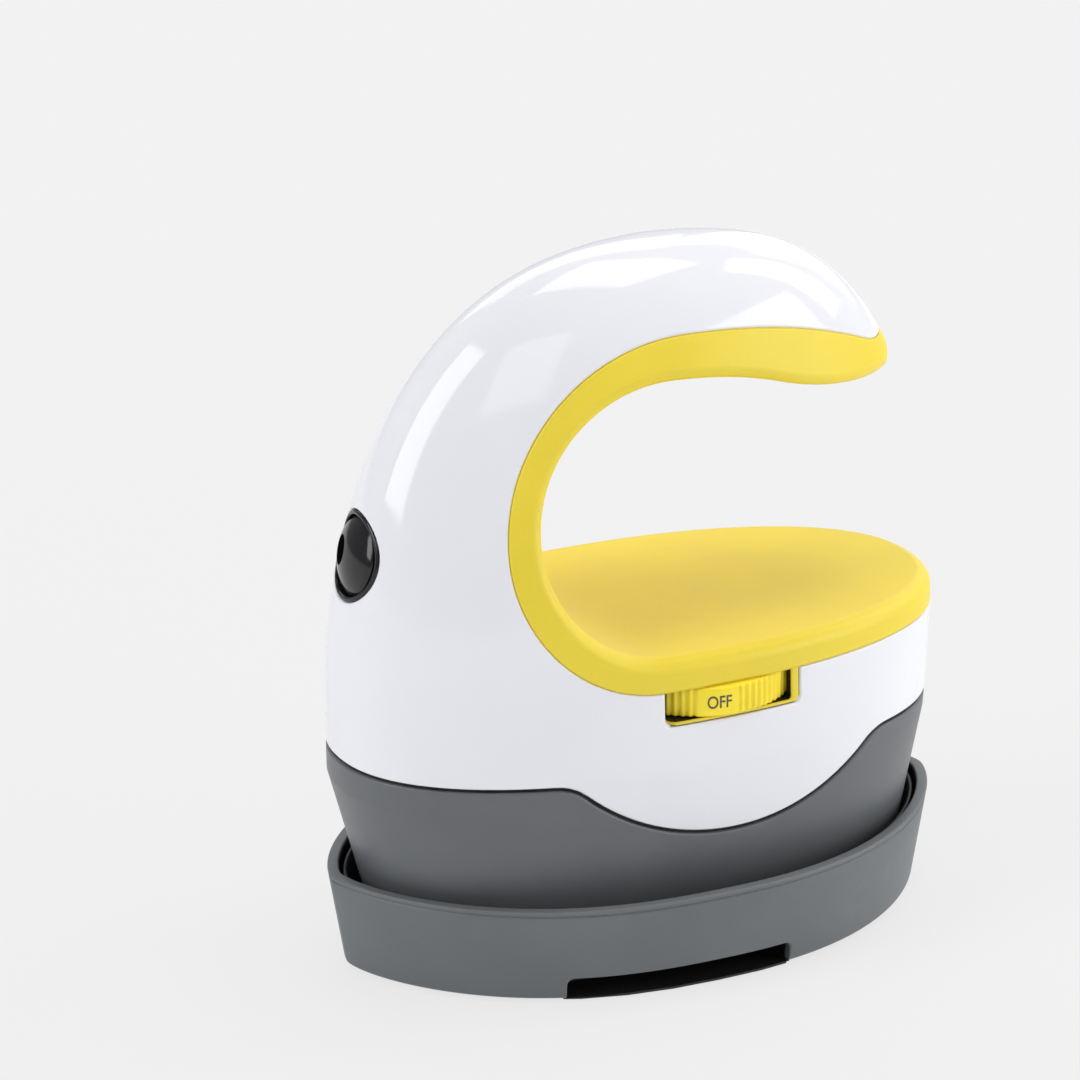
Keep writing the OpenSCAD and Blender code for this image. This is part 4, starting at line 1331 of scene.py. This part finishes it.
def build_tray(sizes, material, dark):
    """The flared tray with its lip, groove and finger notch, with painted shade inside it: on its inner
    wall and floor and in the hollow underneath.
    """
    wall, lip, foot, top, lift, floor = 1.9, 2.3, sizes.tray_foot_round, Tray.rim, Tray.lift, 7.4
    groove, soft, inner_soft = top - sizes.tray_lip, 0.50, 0.35
    profile = [(wall, 5.8), (wall, 1.2), (wall - 0.1, 0.9), (foot, lift)]
    profile += arc_points(foot, lift + foot, foot, 270, 180, 6)
    profile += [(0.0, 6.0), (0.0, 12.0)]
    profile += [(0.0, groove - 0.34), (0.05, groove - 0.24), (0.30, groove - 0.04)]
    profile += [(0.32, groove + 0.14), (0.10, groove + 0.28)]
    profile += arc_points(soft, top - soft, soft, 180, 90, 6)
    profile += arc_points(lip - inner_soft, top - inner_soft, inner_soft, 90, 0)
    profile += [(lip, top - 0.9), (wall, top - 1.3), (wall, 14.0)]
    profile += [(wall, floor + 0.6), (wall + 0.2, floor + 0.2), (wall + 0.6, floor)]
    made = make_object("tray", Tray.moulding(profile), material, "stand", "stand_shell")
    cut_away(made, *notch_cutter())
    inside = lambda at: np.abs(at[:, 1]) < Tray.half(at[:, 0], at[:, 2], wall - 0.12) - 0.02
    # painted shade: the faces inside the wall below the rim, and those at the very bottom, get the black
    # material
    paint(made, dark, lambda at: inside(at) & (at[:, 2] < top - 0.5) | (at[:, 2] < 1.0))
    sharpen(made, 38)


def notch_cutter():
    """Cutter of the finger notch, whose mouth widens into a small round at the outer face."""
    left, right, top, low, corner = -29.7, 15.3, 5.3, -2.0, 1.3

    def outline(grow):
        r = corner + grow
        line = [(left - grow, low)]
        line += arc_points(left + corner, top - corner, r, 180, 90, 6)
        line += [(x, top + grow) for x in np.linspace(left + corner, right - corner, 24)[1:-1]]
        line += arc_points(right - corner, top - corner, r, 90, 0, 6)
        return np.array(line + [(right + grow, low)]).T

    rows = []
    for grow, back in ((0.5, -4.0), (0.5, 0.0), (0.17, 0.15), (0.04, 0.32), (0.0, 0.55), (0.0, None)):
        x, z = outline(grow)
        front = -Tray.half(x, np.maximum(z, Tray.lift))
        rows.append(np.column_stack([x, np.full(len(x), -27.0) if back is None else front + back, z]))
    points, faces = stack(rows, False)
    count = len(rows[0])
    last = len(points) - count
    faces += [tuple(reversed(range(count))), tuple(range(last, last + count))]
    return points, faces


def build_notch_shade_sheet(material):
    """Dark sheet in the finger notch, painted shade that stands for the shade under the tray. It follows
    the tray's outline.
    """
    x = np.linspace(-29.9, 15.8, 40)
    low, high, soft, behind = 0.58, 0.92, 0.12, -25.3
    front = -Tray.half(x, np.full(len(x), Tray.lift)) + 0.75
    profile = (
        (front + soft, low), (front, 0.66), (front, 0.84), (front + soft, high),
        (behind, high), (behind, low),
    )
    rows = [np.column_stack([x, y + 0 * x, z + 0 * x]) for y, z in profile]
    made = make_object("notch_shade_sheet", bar(rows), material, "stand")
    sharpen(made, 38)


def build_cup(material):
    """The dark cup inside the tray that takes the hot plate."""
    outer, inner, top, floor, soft, round_in = 2.9, 3.7, 18.8, 8.4, 0.36, 1.5
    profile = [(outer, 7.4)]
    profile += arc_points(outer + soft, top - soft, soft, 180, 90, 4)
    profile += arc_points(inner - soft, top - soft, soft, 90, 0, 4)
    profile += arc_points(inner + round_in, floor + round_in, round_in, 180, 270)
    moulding = Tray.moulding(profile)
    made = make_object("tray_cup", moulding, material, "stand", "stand_liner")
    sharpen(made, 38)


# ---------------------------------------------------------------- stage

WORLD_LEVEL = 0.33
# share of the paper's colour that takes shadow, and brightness of the rest
FLOOR_SHARE, FLOOR_GLOW = 0.13, 0.835


def build_camera(stage):
    """A level camera that looks at a target above the origin."""
    a, e = math.radians(stage.azimuth), math.radians(stage.elevation)
    back = Vector((math.sin(a) * math.cos(e), -math.cos(a) * math.cos(e), math.sin(e)))
    right = Vector((math.cos(a), math.sin(a), 0.0))
    data = bpy.data.cameras.new("camera")
    data.sensor_width, data.lens = 36.0, stage.lens
    data.shift_x, data.shift_y = -0.0891, 0.0780
    data.clip_start, data.clip_end = 0.05, 20.0
    camera = linked("camera", data)
    target = Vector((0.0, 0.0, 60.0)) * MM
    turn = Matrix((right, back.cross(right), back)).transposed().to_4x4()
    camera.matrix_world = Matrix.Translation(target + back * stage.distance * MM) @ turn
    bpy.context.scene.camera = camera


def build_floor(stage):
    """A pale paper floor. What the camera sees of it is evened out, and keeps the soft shadow."""
    half = 4.0
    mesh = bpy.data.meshes.new("floor")
    corners = [(-half, -half, 0), (half, -half, 0), (half, half, 0), (-half, half, 0)]
    mesh.from_pydata(corners, [], [(0, 1, 2, 3)])
    floor = linked("floor", mesh)
    f = Finish("paper_floor", roughness=0.75, ior=1.4)
    paper = tuple(stage.paper)
    f.set("Base Color", f.tone(f.noise(f.place(), 1.2, 3.0), paper, 0.995, 1.005))
    f.set("Specular IOR Level", 0.1)
    path = f.node("ShaderNodeLightPath", output="Is Camera Ray")
    seen = path
    for ray in ("Is Glossy Ray", "Is Transmission Ray"):
        seen = seen + Value(f, path.socket.node.outputs[ray])
    even = f.node("ShaderNodeEmission", None, {"Color": paper, "Strength": 1.0})
    glow = f.node("ShaderNodeEmission", None, {"Color": paper, "Strength": FLOOR_GLOW})
    lit = f.node("ShaderNodeBsdfDiffuse", None, {"Color": shade(paper, FLOOR_SHARE)})
    near = f.node("ShaderNodeAddShader", None, {0: glow, 1: lit})
    place = f.node("ShaderNodeNewGeometry")
    reach = f.node("ShaderNodeVectorMath", {"operation": "LENGTH"}, {0: place}, 1)
    shown = f.node("ShaderNodeMixShader", None, {0: reach.range(0.16, 0.45), 1: near, 2: even})
    both = f.node("ShaderNodeMixShader", None, {0: seen.range(0.0, 1.0), 2: shown})
    f.tree.links.new(f.shader.outputs["BSDF"], both.socket.node.inputs[1])
    f.tree.links.new(both.socket, f.output.inputs["Surface"])
    mesh.materials.append(f.material)


def build_world(stage):
    """A soft sky as a light, and the paper's colour where the camera sees past the floor."""
    world = bpy.data.worlds.new("studio")
    bpy.context.scene.world = world
    world.use_nodes = True
    nodes, links = world.node_tree.nodes, world.node_tree.links
    soft = nodes["Background"]
    soft.inputs["Color"].default_value = (0.94, 0.96, 1.0, 1.0)
    soft.inputs["Strength"].default_value = WORLD_LEVEL
    paper = nodes.new("ShaderNodeBackground")
    paper.inputs["Color"].default_value = (*stage.paper, 1.0)
    path, mix = nodes.new("ShaderNodeLightPath"), nodes.new("ShaderNodeMixShader")
    links.new(path.outputs["Is Camera Ray"], mix.inputs[0])
    links.new(soft.outputs[0], mix.inputs[1])
    links.new(paper.outputs[0], mix.inputs[2])
    links.new(mix.outputs[0], nodes["World Output"].inputs["Surface"])


def build_lamps():
    """Softboxes round the press: place and size in metres and power in watts."""
    middle = Vector((0.0, 0.0, 0.07))
    for name, place, size, power in (
        ("key", (-0.50, -0.85, 0.95), (0.50, 0.60), 1.4),
        ("top", (0.20, 0.15, 1.25), (0.70, 0.60), 4.1),
        ("right window", (1.00, -0.02, 0.76), (0.30, 0.80), 3.2),
        ("left window", (-1.05, -0.04, 0.75), (0.56, 1.00), 7.3),
        ("front", (0.90, -0.70, 0.35), (0.85, 0.85), 6.8),
        ("back", (0.15, 1.05, 0.85), (0.90, 0.60), 2.7),
        ("right back", (0.85, 0.65, 0.60), (0.80, 0.80), 2.6),
    ):
        data = bpy.data.lights.new(name, "AREA")
        data.shape, data.size, data.size_y = "RECTANGLE", *size
        data.energy = power
        turn = (Vector(place) - middle).to_track_quat("Z", "Y").to_matrix().to_4x4()
        linked(name, data).matrix_world = Matrix.Translation(place) @ turn


# ---------------------------------------------------------------- finishes of the CAD nodes


def cad_finishes():
    """Finish of each CAD node that keeps its own shape."""
    steel = drawn_metal("screw_steel", (0.52, 0.53, 0.55), (1.0, 1.0, 0.2), 0.26)
    return {
        "stand_rest_pad": rubber("silicone_dark", (0.022, 0.023, 0.024)),
        "stand_base": textured_plastic("base_black", (0.010, 0.010, 0.011), 0.50, 0.5, 0.03),
        "stand_feet": rubber("foot_rubber", (0.014, 0.014, 0.014), 0.35),
        "stand_screws": steel,
        "heat_plate": plate_coating("plate_coating"),
        "heating_element": drawn_metal("element_sheath", (0.30, 0.27, 0.23), (1, 1, 1), 0.42,
                                       (0.12, 0.09, 0.08), 0.6),
        "element_terminals": drawn_metal("terminal_tin", (0.66, 0.65, 0.62), (1, 1, 0.2), 0.30),
        "heat_reflector": drawn_metal("reflector_aluminium", (0.82, 0.83, 0.84), (0.04, 1, 1), 0.22),
        "insulation_board": mica_board("insulation_mica"),
        "plate_screws": steel,
        "thermostat": bakelite("thermostat_bakelite", (0.030, 0.024, 0.020)),
        "temperature_sensor": bakelite("sensor_brown", (0.16, 0.06, 0.025)),
        "circuit_board": circuit("board_green"),
        "board_screws": steel,
        "power_relay": moulded_part("relay_blue", (0.02, 0.09, 0.32), (0.6, 0.65, 0.7)),
        "filter_capacitors": moulded_part("capacitor_dark", (0.028, 0.030, 0.05), (0.55, 0.56, 0.6)),
        "terminal_block": moulded_part("terminal_green", (0.02, 0.20, 0.06)),
        "heater_leads": braided_sleeve("lead_cream", (0.52, 0.48, 0.38), (0.74, 0.71, 0.62)),
        "mains_leads": two_leads("lead_brown_blue"),
        "switch_body": bakelite("switch_dark", (0.018, 0.019, 0.021)),
        "housing_screws": steel,
        "outlet_clip": drawn_metal("clip_steel", (0.42, 0.42, 0.43), (1.0, 0.1, 1.0), 0.3),
        "dial_shaft": drawn_metal("shaft_steel", (0.58, 0.58, 0.58), (1.0, 1.0, 0.1), 0.24),
        "dial_screw": steel,
    }


# ---------------------------------------------------------------- operators


def finished(name, make, *settings):
    """The material of this name, made on first use."""
    return bpy.data.materials.get(name) or make(name, *settings)


def black_and_painted_shade(colours):
    """The black of the cup, which also serves as painted shade in the depth of the tray, the window frame
    and the finger notch.
    """
    return finished("cup_dark", textured_plastic, tuple(colours.dark), 0.45, 0.5, 0.02)


class Step:
    """An operator whose build method gets the scene's settings."""

    def execute(self, context):
        scene = context.scene
        self.build(scene.press_sizes, scene.press_colours, scene.press_stage)
        return {"FINISHED"}


class HEATPRESS_OT_housing(Step, bpy.types.Operator):
    """Add the white housing with its rounded rims, window and outlet hole"""

    bl_idname = "heatpress.housing"
    bl_label = "Housing"

    def build(self, sizes, colours, stage):
        build_housing(sizes, finished("housing_gloss", gloss_plastic, tuple(colours.housing)))


class HEATPRESS_OT_skirt(Step, bpy.types.Operator):
    """Add the grey skirt and the dark strip in its seam"""

    bl_idname = "heatpress.skirt"
    bl_label = "Skirt"

    def build(self, sizes, colours, stage):
        grey = finished("skirt_satin", textured_plastic, tuple(colours.skirt), 0.36, 0.30, 0.010)
        build_skirt(sizes, grey)
        build_gasket(sizes, finished("gasket_rubber", rubber, (0.004, 0.004, 0.004)))


class HEATPRESS_OT_grip(Step, bpy.types.Operator):
    """Add the yellow grip with the palm pad and the dial's window frame"""

    bl_idname = "heatpress.grip"
    bl_label = "Grip"

    def build(self, sizes, colours, stage):
        yellow = finished("grip_satin", grip_plastic, tuple(colours.grip))
        build_grip(sizes, yellow)
        build_tongue(sizes, yellow)
        build_window_frame(sizes, yellow, black_and_painted_shade(colours))


class HEATPRESS_OT_dial(Step, bpy.types.Operator):
    """Add the ribbed dial and its lettering"""

    bl_idname = "heatpress.dial"
    bl_label = "Dial"

    def build(self, sizes, colours, stage):
        build_dial(sizes, finished("dial_plastic", dial_plastic, tuple(colours.dial)))
        build_lettering(sizes, finished("dial_ink", moulded_part, tuple(colours.letters), None, 0.5))


class HEATPRESS_OT_outlet(Step, bpy.types.Operator):
    """Add the cord outlet's bezel and swivel"""

    bl_idname = "heatpress.outlet"
    bl_label = "Cord Outlet"

    def build(self, sizes, colours, stage):
        build_outlet(sizes, finished("outlet_gloss", black_gloss, tuple(colours.dark)))


class HEATPRESS_OT_tray(Step, bpy.types.Operator):
    """Add the safety tray, its dark cup and the painted shade in its depth and its notch"""

    bl_idname = "heatpress.tray"
    bl_label = "Tray"

    def build(self, sizes, colours, stage):
        grey = finished("tray_satin", textured_plastic, tuple(colours.tray), 0.42, 0.34, 0.014)
        dark = black_and_painted_shade(colours)
        build_tray(sizes, grey, dark)
        build_cup(dark)
        build_notch_shade_sheet(dark)


class HEATPRESS_OT_inner_parts(Step, bpy.types.Operator):
    """Give the plate, the electrical parts, the screws and the tray's base their finishes"""

    bl_idname = "heatpress.inner_parts"
    bl_label = "Inner Parts"

    def build(self, sizes, colours, stage):
        for node, material in cad_finishes().items():
            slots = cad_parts[node].data.materials
            if not slots:
                slots.append(material)
            for slot in range(len(slots)):
                slots[slot] = material


class HEATPRESS_OT_stage(Step, bpy.types.Operator):
    """Add the floor, the lamps and the camera"""

    bl_idname = "heatpress.stage"
    bl_label = "Stage"

    def build(self, sizes, colours, stage):
        bpy.context.scene.view_settings.view_transform = "Standard"
        build_floor(stage)
        build_world(stage)
        build_lamps()
        build_camera(stage)


STEPS = (
    HEATPRESS_OT_housing,
    HEATPRESS_OT_skirt,
    HEATPRESS_OT_grip,
    HEATPRESS_OT_dial,
    HEATPRESS_OT_outlet,
    HEATPRESS_OT_tray,
    HEATPRESS_OT_inner_parts,
    HEATPRESS_OT_stage,
)


class HEATPRESS_PT_panel(bpy.types.Panel):
    """Lists the steps and their sizes and colours"""

    bl_idname = "HEATPRESS_PT_panel"
    bl_label = "Heat Press"
    bl_space_type = "VIEW_3D"
    bl_region_type = "UI"
    bl_category = "Heat Press"

    def draw(self, context):
        for step in STEPS:
            self.layout.operator(step.bl_idname)
        for name in ("press_sizes", "press_colours", "press_stage"):
            group = getattr(context.scene, name)
            for key in group.bl_rna.properties.keys():
                if key not in ("rna_type", "name"):
                    self.layout.prop(group, key)


GROUPS = {"press_sizes": PressSizes, "press_colours": PressColours, "press_stage": PressStage}


def register():
    for item in (*GROUPS.values(), *STEPS, HEATPRESS_PT_panel):
        bpy.utils.register_class(item)
    for name, group in GROUPS.items():
        setattr(bpy.types.Scene, name, bpy.props.PointerProperty(type=group))


def unregister():
    for name in GROUPS:
        delattr(bpy.types.Scene, name)
    for item in reversed((*GROUPS.values(), *STEPS, HEATPRESS_PT_panel)):
        bpy.utils.unregister_class(item)


def main():
    register()
    for step in STEPS:
        group, name = step.bl_idname.split(".")
        getattr(getattr(bpy.ops, group), name)()


if __name__ == "__main__":
    main()
